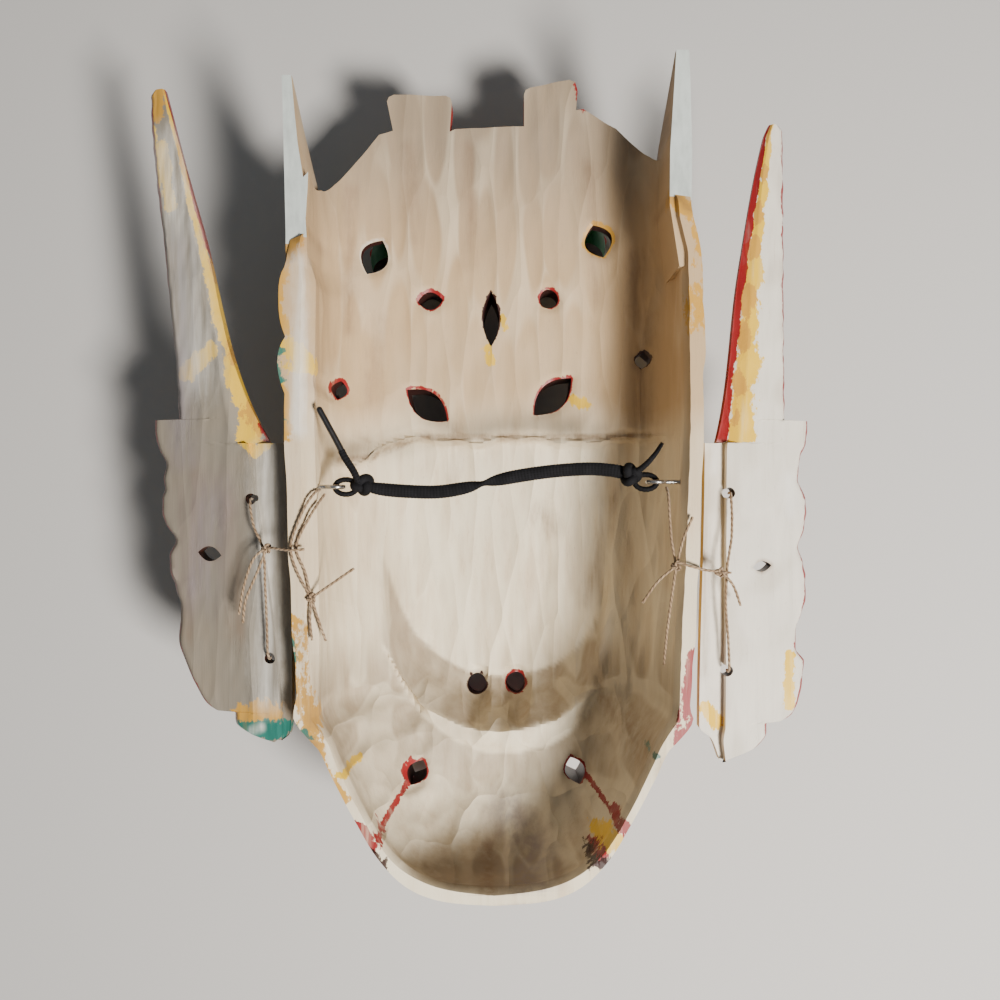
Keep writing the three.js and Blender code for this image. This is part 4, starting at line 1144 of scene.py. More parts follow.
    def holes(self) -> list[Hole]:
        """The holes carved through the face, in pairs."""
        red, dark, pale, ochre = Pigment.RED, Pigment.DARK, Pigment.PALE, Pigment.OCHRE
        return [
            Hole(lens(-61, 123.4, 19, 13.5, 1.15), pale),
            Hole(lens(52.7, 131.6, 17, 14, 1.9), ochre, stain=2.2),
            Hole(lens(-33, 102, 13, 9, 0.1), red, stain=1.8), Hole(round_outline(27.7, 103, 4.8), red),
            Hole(lens(-1.9, 93, 28, 8.5, math.pi / 2), dark, ring=0.8, sink=0.4, stain=0.7),
            Hole(lens(-77.7, 55, 9.5, 6.5, 1.4), red, stain=1.8), Hole(lens(74.9, 70.7, 8, 7, 1.5), dark),
            Hole(lens(-34.8, 48.8, 26, 14, -0.66), red, stain=1.2),
            Hole(lens(29.9, 53.4, 27, 14, 0.78), red, stain=1.2),
            Hole(round_outline(-9.6, -99.6, 5.2), dark, ring=1.0, sink=0.3, stain=0.8),
            Hole(round_outline(11.2, -99, 5.2), red, ring=1.0, sink=0.3, stain=1.8),
            Hole(lens(-39.1, -137.5, 12.5, 10, 1.1), red, ring=3.4, sink=2.4),
            Hole(lens(40.4, -136, 12.5, 10, 1.9), red, ring=3.4, sink=2.4),
        ]

    def horn(self, stations: Pairs) -> Form:
        """A corner horn: five-sided sections from the wall up to the point."""
        table = np.array(stations, float)
        y = np.linspace(table[0, 0], table[-1, 0], 60)
        inner, outer, front = (np.interp(y, table[:, 0], column) for column in table.T[1:])
        rear = np.full_like(y, RIM_Z - HORN_DROP)
        third = (inner + 2 * outer) / 3
        ring = [(inner, rear), (outer, rear), (outer, (rear + front) / 2), (third, front), (inner, front + 2)]
        return Form.sweep(np.stack([np.stack([x, y, z], -1) for x, z in ring], 1))

    def build(self) -> bpy.types.Object:
        """Works the body out of its block: outer form, crown, horns, relief, hollow and holes.

        Returns:
            The piece.
        """
        piece = make_object("carved_body", self.outer_form().mesh("carved_body", Skin.YELLOW))
        crown = np.r_[[(-130, 133)], np.array(self.crown, float), [(130, 142), (130, 260), (-130, 260)]]
        carve(piece, prism(crown, -20, RIM_Z + 20), Cut.REMOVE, Skin.RED)
        room = make_object("room", self.hollow_form().mesh("room", Skin.HOLLOW))
        for stations in (self.left_horn, self.right_horn):
            carve(piece, self.horn(stations), Cut.JOIN, Skin.BLUE_WHITE)
            carve(room, self.horn(stations), Cut.REMOVE, Skin.BLUE_WHITE)
        for low, high in self.shoulders:
            wedge = prism(np.array(low, float), RIM_Z - HORN_DROP, RIM_Z + 0.2, np.array(high, float))
            carve(piece, wedge, Cut.REMOVE, Skin.HOLLOW)
        relief = Relief(self)
        for form, skin in relief.forms():
            carve(piece, form, Cut.JOIN, skin)
        carve(piece, prism(np.array([(-300, -300), (300, -300), (300, 300), (-300, 300)]), -60, 0.0),
              Cut.REMOVE,
              Skin.WHITE)
        carve(piece, room, Cut.REMOVE, Skin.HOLLOW)
        for hole in self.holes():
            carve(piece, prism(hole.outline, -20, RIM_Z + 20), Cut.REMOVE, Skin.HOLE)
        for eye in screw_eyes():
            carve(piece, eye.bore(), Cut.REMOVE, Skin.HOLE)
        self.bare_faces(piece)
        return piece

    def bare_faces(self, piece: bpy.types.Object) -> None:
        """Leaves the flat rim and the horns' inner sides bare, and paints the horns' rear faces."""
        count = len(piece.data.polygons)
        lie, middle, slot = np.empty(count * 3), np.empty(count * 3), np.empty(count, np.int32)
        piece.data.polygons.foreach_get("normal", lie)
        piece.data.polygons.foreach_get("center", middle)
        piece.data.polygons.foreach_get("material_index", slot)
        x, y, z = (middle.reshape(-1, 3) * 1000.0 + MIDDLE).T
        across, _, up = lie.reshape(-1, 3).T
        foot = np.where(x < 0, 119.4 + 0.4 * (x + 85.5), 137.8 - 0.14 * (x - 79.2))
        rear = (up > 0.9) & (np.abs(z - RIM_Z + HORN_DROP) < 0.2) & (y > foot) & (np.abs(x) > 78.0)
        horn = (slot == Skin.BLUE_WHITE) & ((y < foot) | (across * np.sign(x) < -0.5))
        bare = (slot == Skin.YELLOW) & (up > 0.9) | horn
        slot = np.where(rear, Skin.BLUE_WHITE, np.where(bare, Skin.HOLLOW, slot))
        piece.data.polygons.foreach_set("material_index", slot.astype(np.int32))


@dataclass
class Relief:
    """The carving of the mask's face: beak, eyes, brows, mouth, the small bird above and the two cobras."""

    body: Body
    middle: float = 2.0
    beak_stations: Pairs = ((44, 30, 9, 46), (30, 17, 14, 42), (8, 8, 20, 36), (-20, 3, 25, 34),
                            (-48, 0.6, 27, 34),
                            (-70, 0, 26, 34), (-88, 0, 23, 36), (-100, 4, 18, 40), (-110, 13, 10, 44))
    upper_lip: tuple[float, float] = (-124.0, -92.0)
    lower_lip: tuple[float, float] = (-158.0, -108.0)
    mouth_reach: float = 66.0
    diadem: Pairs = ((-88, 66), (-60, 78), (-30, 83), (0, 85), (30, 83), (60, 79), (88, 68))
    lobes: Pairs = ((96, 15), (74, 13), (52, 14))

    def set_on(self, points: Pairs, lift: float) -> Array:
        """Puts points in plan onto the outer face, raised above it by a lift."""
        plan = np.array(points, float)
        return np.c_[plan, self.body.face(plan[:, 0], plan[:, 1]) - lift]

    def bar(self, points: Pairs, wide: Curve, tall: Curve, steps: int = 60,
            sides: int = 18, relief: Pattern | None = None) -> Form:
        """A bar along the face: wide is its half-width along the face, tall its half-height off it."""
        return tube(smooth_path(points, steps), tall, (0, 0, 1), sides, wide, relief=relief)

    def beak(self) -> Form:
        """The beak: an arch carried down eased stations, with a groove along each side of its mouth.

        Across is minus cosine of the angle times the half-width, up is sine to the power 1.1 between the base
        and the crest. The groove narrows the arch by 7% where up is a third.
        """
        y, crest, half, base = smooth_path(self.beak_stations, 90).T
        angle = np.linspace(0.0, math.pi, 44)
        up = power(np.sin(angle), 1.1)
        groove = 1.0 - 0.07 * np.exp(-(((up - 0.33) / 0.06) ** 2))
        across = -np.cos(angle) * groove
        x = self.middle + half[:, None] * across
        z = base[:, None] + (crest - base)[:, None] * up
        return Form.sweep(np.stack([x, np.broadcast_to(y[:, None], x.shape), z], -1))

    def eye(self, side: int) -> list[tuple[Form, Skin]]:
        """A bulging eye with two lids, under a brow of twisted hair."""
        x, y = side * 34 - 2, 50.0
        z = float(self.body.face(34, y)) + 8
        angle = np.linspace(0.12, math.pi - 0.12, 16)
        lids = []
        for sign, skin in ((1, Skin.GREEN), (-1, Skin.RED)):
            arc = np.c_[x + 23.5 * np.cos(angle), y + sign * 21.5 * np.sin(angle), np.full(16, z - 4.0)]
            lids.append((self.bar(arc, lambda s: 1.0 + 2.6 * np.sin(math.pi * s), steady(4.5), 40, 12), skin))
        brow = self.set_on([(side * 7, 50), (side * 22, 69), (side * 44, 75), (side * 68, 62),
                            (side * 84, 44)], 3)
        hair = lambda s, a: 0.09 * np.cos(7 * a + 34 * s)
        return [(ball((x, y, z), (23, 21, 22), 64, 40), Skin.EYE), *lids,
                (self.bar(brow, lambda s: 6.5 - 3 * s, lambda s: 9 - 4 * s, 90, 34, hair), Skin.BLACK)]

    def lip(self, low: float, high: float, tall: float, lift: float) -> Form:
        """A lip from cheek to cheek: y is low plus the rise times the share across squared."""
        share = np.linspace(-1, 1, 13)
        line = np.c_[share * self.mouth_reach, low + (high - low) * share**2]
        return self.bar(self.set_on(line, lift), steady(5.0), steady(tall), 90, 18)

    def mouth(self) -> list[tuple[Form, Skin]]:
        """Lips, six teeth, two tusks, the tongue and the chin."""
        low, high = self.upper_lip
        teeth = []
        for i in (-3, -2, -1, 1, 2, 3):
            x = i * 9.6 - math.copysign(2, i)
            y = low + (high - low) * (x / self.mouth_reach) ** 2 - 9
            teeth.append(ball((x, y, float(self.body.face(x, y)) + 1), (4.2, 7, 6.6), 28, 18, square=0.5))
        forms = [(self.lip(*self.upper_lip, 8, 3), Skin.RED), (self.lip(*self.lower_lip, 7, 2), Skin.RED),
                 (Form.together(teeth), Skin.WHITE)]
        for side in (-1, 1):
            root = self.set_on([(side * 52, -118), (side * 57, -108), (side * 60, -92)], 1)
            root[1:, 2] -= (8, 11)
            size = lambda s: 6 - 4.5 * s
            forms.append((self.bar(root, size, size, 30, 16), Skin.WHITE))
        split = lambda d: -0.10 * np.exp(-((d[..., 0] / 0.07) ** 2))
        forms.append((ball((0, -141, float(self.body.face(0, -141)) + 2), (15, 17, 9), 48, 28, split),
                      Skin.RED))
        forms.append((ball((0, -166, float(self.body.face(0, -166)) + 10), (30, 13, 14), 48, 28),
                      Skin.YELLOW))
        return forms

    def small_bird(self) -> list[tuple[Form, Skin]]:
        """The bird's face above the diadem: its own beak, rings round its eye holes and a fan of feathers."""
        top = float(self.body.face(0, 108)) + 7
        forms = [(ball((-2, 108, top), (44, 30, 18), 64, 36), Skin.YELLOW),
                 (ball((-2, 94, float(self.body.face(0, 94)) - 6), (12, 24, 18), 44, 30), Skin.RED)]
        spin = np.linspace(0, 2 * math.pi, 40, endpoint=False)
        for x, y in ((-33, 102), (27.7, 103)):
            high = top - 18 * math.sqrt(1 - ((x + 2) / 44) ** 2 - ((y - 108) / 30) ** 2)
            ring = np.c_[x + 10 * np.cos(spin), y + 8 * np.sin(spin), np.full_like(spin, high)]
            forms.append((tube(ring, steady(3.6), (0, 0, 1), 12, steady(2.2), looped=True), Skin.WHITE))
        skins = (Skin.TEAL, Skin.YELLOW, Skin.RED)
        for n, lean in enumerate((-0.62, -0.40, -0.19, 0.0, 0.19, 0.40, 0.62)):
            reach = np.linspace(34, 74, 8)
            line = np.c_[-2 + reach * math.sin(lean), 100 + reach * math.cos(lean)]
            vein = lambda s, a: 0.10 * np.cos(2 * a) * np.cos(50 * s)
            forms.append((self.bar(self.set_on(line, 0),
                                   lambda s: 1.2 + 4.6 * np.sin(math.pi * (0.12 + 0.8 * s)) ** 0.8,
                                   steady(3.2), 46, 18, vein), skins[abs(n - 3) % 3]))
        return forms

    def cobra(self, x: float, y: float, side: int) -> list[tuple[Form, Skin]]:
        """A cobra: a scaly coil round its hole, a neck with belly bands that rears up, a hood and a head."""
        turn = np.linspace(0, 1, 14)
        angle = math.pi * (0.5 + side * (0.15 + turn * 1.75))
        coil = self.set_on(np.c_[x + 17 * np.cos(angle), y + 17 * np.sin(angle)], 2)
        hx, base = x * 0.96, float(self.body.face(x, y + 20))
        neck = [(x, y + 19, base + 4), (hx, y + 27, base - 12), (hx, y + 27, 18), (hx, y + 20, 10),
                (hx, y + 8, 8)]
        scales = lambda s, a: 0.05 * np.cos(12 * a + 110 * s) * np.cos(12 * a - 110 * s)
        bands = lambda s, a: 0.05 * np.cos(90 * s) * np.clip(np.cos(a - math.pi / 2), 0, 1)
        ribs = lambda d: 0.035 * np.cos(22 * d[..., 2]) * power(d[..., 0], 1.0)
        size = lambda s: 8.5 - 2 * s
        forms = [
            (self.bar(coil, steady(5.5), steady(7), 110, 36, scales), Skin.GREEN),
            (tube(smooth_path(neck, 80), size, (1, 0, 0), 30, relief=bands), Skin.GREEN),
            (ball((hx, y + 27, (base + 22) / 2), (19, 6, (base - 8) / 2 + 4), 48, 60, ribs), Skin.GREEN),
            (ball((hx, y + 9, 9), (10, 14, 10), 48, 30), Skin.GREEN),
        ]
        eyes = [ball((hx + s * 8.0, y + 12.5, 7.5), (3.0, 3.4, 3.4), 16, 10) for s in (-1, 1)]
        return forms + [(Form.together(eyes), Skin.RED)]

    def forms(self) -> list[tuple[Form, Skin]]:
        """Every form of the relief, with its paint."""
        made = [(self.beak(), Skin.RED)]
        for side in (-1, 1):
            made += self.eye(side)
            made.append((ball((side * 62, -34, float(self.body.face(62, -34)) + 8), (24, 36, 20), 52, 36),
                         Skin.YELLOW))
            made.append((ball((self.middle + side * 19, -92, 20), (13, 17, 15), 40, 26), Skin.RED))
            lobes = [ball((side * 92.5, y, RIM_Z - 22), (5, length, 18), 24, 24) for y, length in self.lobes]
            made += [(lobe, Skin.YELLOW) for lobe in lobes]
        made += self.mouth()
        made.append((self.bar(self.set_on(self.diadem, 1), steady(4.5), steady(7), 100, 18), Skin.RED))
        beads = evenly(smooth_path(self.set_on(self.diadem, 8.5), 100), 22)[1:-1]
        made.append((Form.together([ball(p, (3.2, 3.2, 2.8), 14, 9) for p in beads]), Skin.WHITE))
        return made + self.small_bird() + self.cobra(-61, 124, -1) + self.cobra(53, 131, 1)


@dataclass
class SidePanel:
    """A carved side board that leans outwards: a tongue beside the wall, a scalloped ear and a tall spike.

    Its tables give, from the foot to the tip, how far the outer edge, the inner edge and the step of the
    back lie from the mask's middle line.
    """

    node: str
    side: int
    outer: Pairs
    inner: Pairs
    step: Pairs
    hole: tuple[float, float, float, float, float]
    twine_holes: Pairs
    stains: tuple[Stain, ...]
    seed: int
    # Tone of the bare back; on the left board it is darkened as painted shade.
    wood: Tone
    yellow: tuple[float, float]
    red_from: float
    thick: float = 11.0
    tip_thick: float = 5.0
    hinge: float = 97.0
    hinge_drop: float = 9.0
    tilt: float = math.radians(15)
    rebate: float = 4.5
    tongue_top: float = 26.5
    twine_hole: float = 2.6
    row_step: float = 1.3
    columns: tuple[int, ...] = (6, 3, 26, 4, 9, 6, 34)
    feather: tuple[float, float, float] = (6.6, 21.0, 15.0)
    first_row: float = -130.0

    def rows(self) -> Array:
        """Places of the rows: every corner of the three tables, and even steps between."""
        corners = np.unique(np.concatenate([np.array(t, float)[:, 0]
                                            for t in (self.outer, self.inner, self.step)]))
        low, high = self.outer[0][0], self.outer[-1][0]
        even = np.arange(low, high, self.row_step)
        even = even[np.min(np.abs(even[:, None] - corners), axis=1) > 0.3]
        return np.sort(np.r_[corners[(corners >= low) & (corners <= high)], even])

    def board(self) -> Form:
        """The board: seven sides of a section, each split evenly, carried from the foot to the tip.

        Out of the sections' plan the back is level, with its step down to the tongue or, on the spike, its
        sloped band. Up is measured from a plane that falls outwards by the tangent of the tilt.
        """
        y = self.rows()
        far, near, fold = (gently(t, y) for t in (self.outer, self.inner, self.step))
        wave = noise(np.c_[y, np.zeros_like(y)], 9.0, self.seed)
        far = far - 0.25 - 0.25 * wave
        spike = y > self.tongue_top
        thick = self.thick + (self.tip_thick - self.thick) * smoothstep(self.tongue_top, y[-1], y)
        dip = np.where(spike, np.minimum(8, (fold - near) * 0.45 + 1), self.rebate)
        bent = np.where(spike, (fold + near) / 2, fold - 0.3)
        half = np.where(spike, -dip / 2, -dip)
        zero = np.zeros_like(y)
        ring = [(far, -thick), (far - 0.3, zero - 2.5), (far - 2.5, zero), (fold, zero), (bent, half),
                (near, -dip),
                (near, -np.maximum(thick, dip + 1.5))]
        across, up, part = [], [], []
        for n, (a, b) in enumerate(zip(ring, ring[1:] + ring[:1])):
            share = np.arange(self.columns[n]) / self.columns[n]
            across.append(a[0][:, None] + (b[0] - a[0])[:, None] * share)
            up.append(a[1][:, None] + (b[1] - a[1])[:, None] * share)
            part.append(np.full(self.columns[n], n))
        across, up, part = np.concatenate(across, 1), np.concatenate(up, 1), np.concatenate(part)
        yy = np.broadcast_to(y[:, None], across.shape)
        flat = np.stack([across, yy], -1)
        planed = 0.16 * noise(flat * (1.0, 0.22), 5.0, self.seed + 1)
        planed = planed + 0.22 * noise(flat, 30.0, self.seed + 2)
        rear = np.where(np.isin(part, (2, 3, 4)), planed - 0.3, 0.0)
        up = up + rear * smoothstep(0, 4, far - near)[:, None]
        carved = self.feathers(across, yy)[0] * smoothstep(0, 3, far[:, None] - across)
        carved = np.minimum(carved * smoothstep(0, 3, across - near[:, None]), 0.25 * thick[:, None])
        up = up + np.where(part == 6, carved, 0.0)
        out = across - self.hinge
        x = self.side * across
        z = RIM_Z - self.hinge_drop - out * math.tan(self.tilt) + up
        return Form.sweep(np.stack([x, yy, z], -1))

    def feathers(self, across: Array, y: Array) -> tuple[Array, Array]:
        """Rows of overlapping carved feathers on the painted front.

        Feathers sit in even rows, every other row half a feather along. A place belongs to the lowest
        row whose half-oval covers it, and its share is its distance from that oval's middle, 0 to 1. The
        surface sinks from the rim of each feather to its middle.

        Args:
            across: Places across the board.
            y: Places along it.

        Returns:
            Depths in mm, and the shares.
        """
        wide, tall, pitch = self.feather
        share = np.full(across.shape, 1.0)
        taken = np.zeros(across.shape, bool)
        row = np.floor((y - self.first_row) / pitch)
        for back in (2, 1, 0, -1):
            k = row - back
            top = (k + 1) * pitch + self.first_row
            middle = (np.round(across / (2 * wide) - 0.5 * (k % 2)) + 0.5 * (k % 2)) * 2 * wide
            reach = np.hypot((across - middle) / wide, (y - top) / tall)
            fresh = (reach < 1.0) & (y <= top + 0.2) & ~taken
            share[fresh], taken[fresh] = reach[fresh], True
        return 1.6 * (1.0 - share) + 0.5 * smoothstep(0.78, 0.84, share) * smoothstep(0.98, 0.9, share), share

    def build(self) -> bpy.types.Object:
        """Makes the board, with its holes, its paint and its fields."""
        name = self.node.replace("ear", "carved")
        piece = make_object(name, self.board().mesh(name))
        x, y, length, width, turn = self.hole
        cut = lens(self.side * x, y, length, width, turn * self.side)
        carve(piece, prism(cut, 20, RIM_Z + 9), Cut.REMOVE, 2)
        for hx, hy in self.twine_holes:
            carve(piece, prism(round_outline(self.side * hx, hy, self.twine_hole), 20, RIM_Z + 9),
                  Cut.REMOVE, 2)
        self.dress(piece, Hole(cut, Pigment.BROWN))
        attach(piece, "root")
        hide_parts(self.node)
        return piece

    def dress(self, piece: bpy.types.Object, hole: Hole) -> None:
        """Paints the front and the edges, and leaves the back bare with its painted bands and smears."""
        places = corners_of(piece)
        across, y = self.side * places[:, 0], places[:, 1]
        far, near, fold = (np.interp(y, *np.array(t, float).T) for t in (self.outer, self.inner, self.step))
        up = places[:, 2] - RIM_Z + self.hinge_drop + (across - self.hinge) * math.tan(self.tilt)
        band = np.clip((fold - across) / np.maximum(fold - near, 0.5), -2, 1)
        spike = smoothstep(self.tongue_top - 1, self.tongue_top + 1, y)
        ragged = noise(np.c_[across * 0.6, y], 22.0, self.seed + 9)
        lay_stains(piece, [Stain(Pigment.BROWN, hole.line(), 1.5, 0.8), *self.stains], tuple(Pigment), {
            Pigment.YELLOW: spike * (1 - np.abs(band - self.yellow[0]) / self.yellow[1] + 0.35 * ragged)
            - (1 - spike),
            Pigment.OCHRE: spike * (0.35 - np.abs(band - self.yellow[0] - 0.25) / self.yellow[1]
                                    - 0.9 * ragged) - (1 - spike),
            Pigment.RED: np.maximum(spike * np.clip((band - self.red_from + 0.1 * ragged) / 0.2, -1, 1.2)
                                    - (1 - spike),
                                    1.0 - (far - across) / np.where(up > -2.6, 1.5 + 0.4 * ragged, 1.0)),
        })
        set_field(piece, "aged", 0.25 * smoothstep(0.0, 1.0, noise(places[:, :2], 35.0, self.seed + 2)))
        set_field(piece, "warm", 0.12 + 0.2 * smoothstep(0.0, 1.0, noise(places[:, :2], 60.0, self.seed + 5)))
        set_field(piece, "torn", smoothstep(0.2, 0.9, noise(places[:, :2], 22.0, self.seed + 6)) * 0.5)
        set_field(piece, "feather", self.feathers(across, y)[1])
        set_field(piece, "scaled", np.zeros(len(places)))
        set_field(piece, "flat", np.full(len(places), 0.4))
        paint_slots(piece, [finish.material(piece.name + "_" + type(finish).__name__.lower()) for finish in (
            BareWood(self.wood, tuple(0.72 * c for c in self.wood)), FeatherPaint(),
            Paint((0.05, 0.018, 0.013), 0.0))])
        faces = len(piece.data.polygons)
        lie, slot = np.empty(faces * 3), np.empty(faces, np.int32)
        piece.data.polygons.foreach_get("normal", lie)
        piece.data.polygons.foreach_get("material_index", slot)
        front = (lie.reshape(-1, 3)[:, 2] < -0.3) & (slot == 0)
        piece.data.polygons.foreach_set("material_index", np.where(front, 1, slot).astype(np.int32))
        smooth_faces(piece, 40)


@dataclass(frozen=True)
class FeatherPaint:
    """Paint on carved feathers, by share from the middle: red, yellow, a dark line, teal barbs, pale rims."""

    hearts: Tone = (0.42, 0.03, 0.025)
    inner: Tone = (0.68, 0.42, 0.03)
    line: Tone = (0.02, 0.03, 0.035)
    barbs: Tone = (0.015, 0.19, 0.21)
    rims: Tone = (0.62, 0.62, 0.56)

    def material(self, name: str) -> bpy.types.Material:
        """Makes the material."""
        tree = Tree(name)
        brush = tree.noise(420.0, (1.0, 0.2, 1.0), 3.0, 0.6)
        chip = tree.noise(300.0, (1.0, 0.7, 1.0), 4.0, 0.7)
        patch = tree.noise(60.0, (1.0, 1.0, 1.0), 3.0)
        share = tree.field("feather") + (brush - 0.5) * 0.10
        colour = tree.mix(self.hearts, self.inner, share.step(0.30, 0.34))
        for tone, place in ((self.line, 0.54), (self.barbs, 0.58), (self.rims, 0.86)):
            colour = colour.to(tone, share.step(place - 0.015, place + 0.015))
        worn = (chip * 0.6 + patch * 0.5).step(0.74, 0.80)
        colour = colour.to((0.10, 0.08, 0.06), brush.step(0.45, 0.9) * 0.3).to((0.62, 0.52, 0.36), worn)
        tree.bump(brush * 0.6 - worn * 0.8, 0.00025)
        return tree.finish(colour, worn * 0.3 + 0.42, specular_ior_level=0.45)


@dataclass
class ScrewEye:
    """A bent steel eye whose threaded shank is screwed into a wall."""

    node: str
    side: int
    centre: tuple[float, float, float]
    wall: float
    ring: float = 3.9
    wire: float = 1.1
    bite: float = 4.5

    def build(self) -> bpy.types.Object:
        """Bends one wire: along the shank, up into the ring and round to just short of its start.

        The route is the shank's straight line along X and then a circle in the XZ plane. The thread is a
        ridge that turns once for each millimetre of the shank inside the wood.
        """
        x, y, z = self.centre
        reach = abs(self.wall - x) - self.ring + self.bite
        along = np.linspace(reach, 0.6, 90)
        shank = np.c_[x + self.side * (self.ring + along), np.full(90, y), np.full(90, z)]
        turn = np.linspace(0.16, 2 * math.pi - 0.66, 70)
        loop = np.c_[x + self.side * self.ring * np.cos(turn), np.full(70, y), z + self.ring * np.sin(turn)]
        path = evenly(np.r_[shank, loop], 240)
        length = float(np.linalg.norm(np.diff(path, axis=0), axis=1).sum())
        inside = self.bite / length
        fade = lambda s: smoothstep(inside * 1.3, inside, s)
        thread = lambda s, a: 0.13 * np.cos(a - 2 * math.pi * s * length) * fade(s)
        to_end = lambda s: np.minimum(s * length * 1.4, (1 - s) * length) / 1.1
        ends = lambda s: self.wire * 0.9 * np.sqrt(1 - np.clip(1 - to_end(s), 0, 1) ** 2 * 0.9)
        name = self.node.replace("screw", "steel")
        piece = make_object(name, tube(path, ends, (0, 1, 0), 18, relief=thread).mesh(name))
        paint_slots(piece, [Steel().material(name)])
        smooth_faces(piece, 60)
        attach(piece, "root")
        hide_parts(self.node)
        return piece

    def bore(self) -> Form:
        """The hole that the shank sits in."""
        x, y, z = self.centre
        ends = np.array([(self.wall - self.side * 2, y, z),
                         (self.wall + self.side * (self.bite + 0.7), y, z)])
        return tube(evenly(ends, 4), steady(1.3), (0, 1, 0), 14)


@dataclass(frozen=True)
class Steel:
    """Dulled bright steel wire, with drawing marks and spots of rust."""

    tone: Tone = (0.56, 0.56, 0.56)
    rust: Tone = (0.16, 0.07, 0.035)

    def material(self, name: str) -> bpy.types.Material:
        """Makes the material."""
        tree = Tree(name)
        spots = tree.noise(900.0, (1, 1, 1), 4.0, 0.7).step(0.58, 0.68)
        drawn = tree.noise(2600.0, (0.2, 1, 1), 2.0)
        colour = tree.mix(self.tone, (0.36, 0.35, 0.34), drawn.step(0.35, 0.75) * 0.5)
        colour = colour.to(self.rust, spots * 0.75)
        tree.bump(drawn, 0.00004)
        tree.feed(tree.shader.inputs["Metallic"], 1.0 - spots * 0.8)
        return tree.finish(colour, spots * 0.4 + drawn * 0.12 + 0.22)


def measured(path: Array) -> float:
    """A path's length, in metres."""
    return float(np.linalg.norm(np.diff(path, axis=0), axis=1).sum()) / 1000.0


def trefoil(centre: Sequence[float], size: Sequence[float], thick: float, lean: float, sides: int = 14,
            relief: Pattern | None = None) -> Form:
    """An overhand knot pulled tight: a tube on the trefoil curve.

    Its points are (sin t + 2 sin 2t, cos t - 2 cos 2t, -sin 3t), scaled on each axis, turned by the lean in
    plan, and moved to the centre.
    """
    t = np.linspace(0, 2 * math.pi, 120, endpoint=False)
    curve = np.c_[(np.sin(t) + 2 * np.sin(2 * t)) / 3, (np.cos(t) - 2 * np.cos(2 * t)) / 3, -np.sin(3 * t)]
    curve = curve * (np.asarray(size) - thick)
    c, s = math.cos(lean), math.sin(lean)
    turned = np.c_[curve[:, 0] * c - curve[:, 1] * s, curve[:, 0] * s + curve[:, 1] * c, curve[:, 2]]
    return tube(turned + np.asarray(centre), steady(thick), (0.11, 0.07, 1.0), sides, relief=relief,
                looped=True)


@dataclass(frozen=True)
class Fibre:
    """Yarn for lace and twine: painted shade in the grooves between plies, loose fibres and a soft sheen."""

    tone: Tone
    light: Tone
    sheen: float = 0.2

    def material(self, name: str) -> bpy.types.Material:
        """Makes the material, which darkens each corner as painted shade by how deep in a groove it lies."""
        tree = Tree(name)
        hairs = tree.noise(3800.0, (1, 1, 1), 3.0, 0.7)
        patch = tree.noise(160.0, (1, 1, 1), 3.0)
        colour = tree.mix(self.tone, self.light, (hairs * 0.6 + patch * 0.5).step(0.4, 0.8))
        # Painted shade in the grooves between plies.
        dark = tuple(0.35 * c for c in self.tone)
        colour = colour.to(dark, tree.field("groove").step(0.35, 0.95) * 0.85)
        tree.bump(hairs, 0.00012)
        return tree.finish(colour, 0.86, specular_ior_level=0.18, sheen_weight=self.sheen)


def dress_yarn(piece: bpy.types.Object, form: Form, fibre: Fibre, groove: Pattern, rings: int,
               sides: int) -> None:
    """Gives a piece of lace or twine its fibre, its slot and the body that it rides on.

    Args:
        piece: The piece.
        form: The tube that it was made from.
        fibre: Its finish, which darkens each corner as painted shade by how deep in a groove it lies.
        groove: That depth, from 0 to 1, over the share of the path and the angle round it.
        rings: Rings along the tube.
        sides: Corners round it.
    """
    share = np.repeat(np.linspace(0, 1, rings), sides)
    angle = np.tile(np.linspace(0, 2 * math.pi, sides, endpoint=False), rings)
    set_field(piece, "groove", groove(share, angle)[form.kept])
    paint_slots(piece, [fibre.material(piece.name)])
    smooth_faces(piece, 80)
    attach(piece, "root")


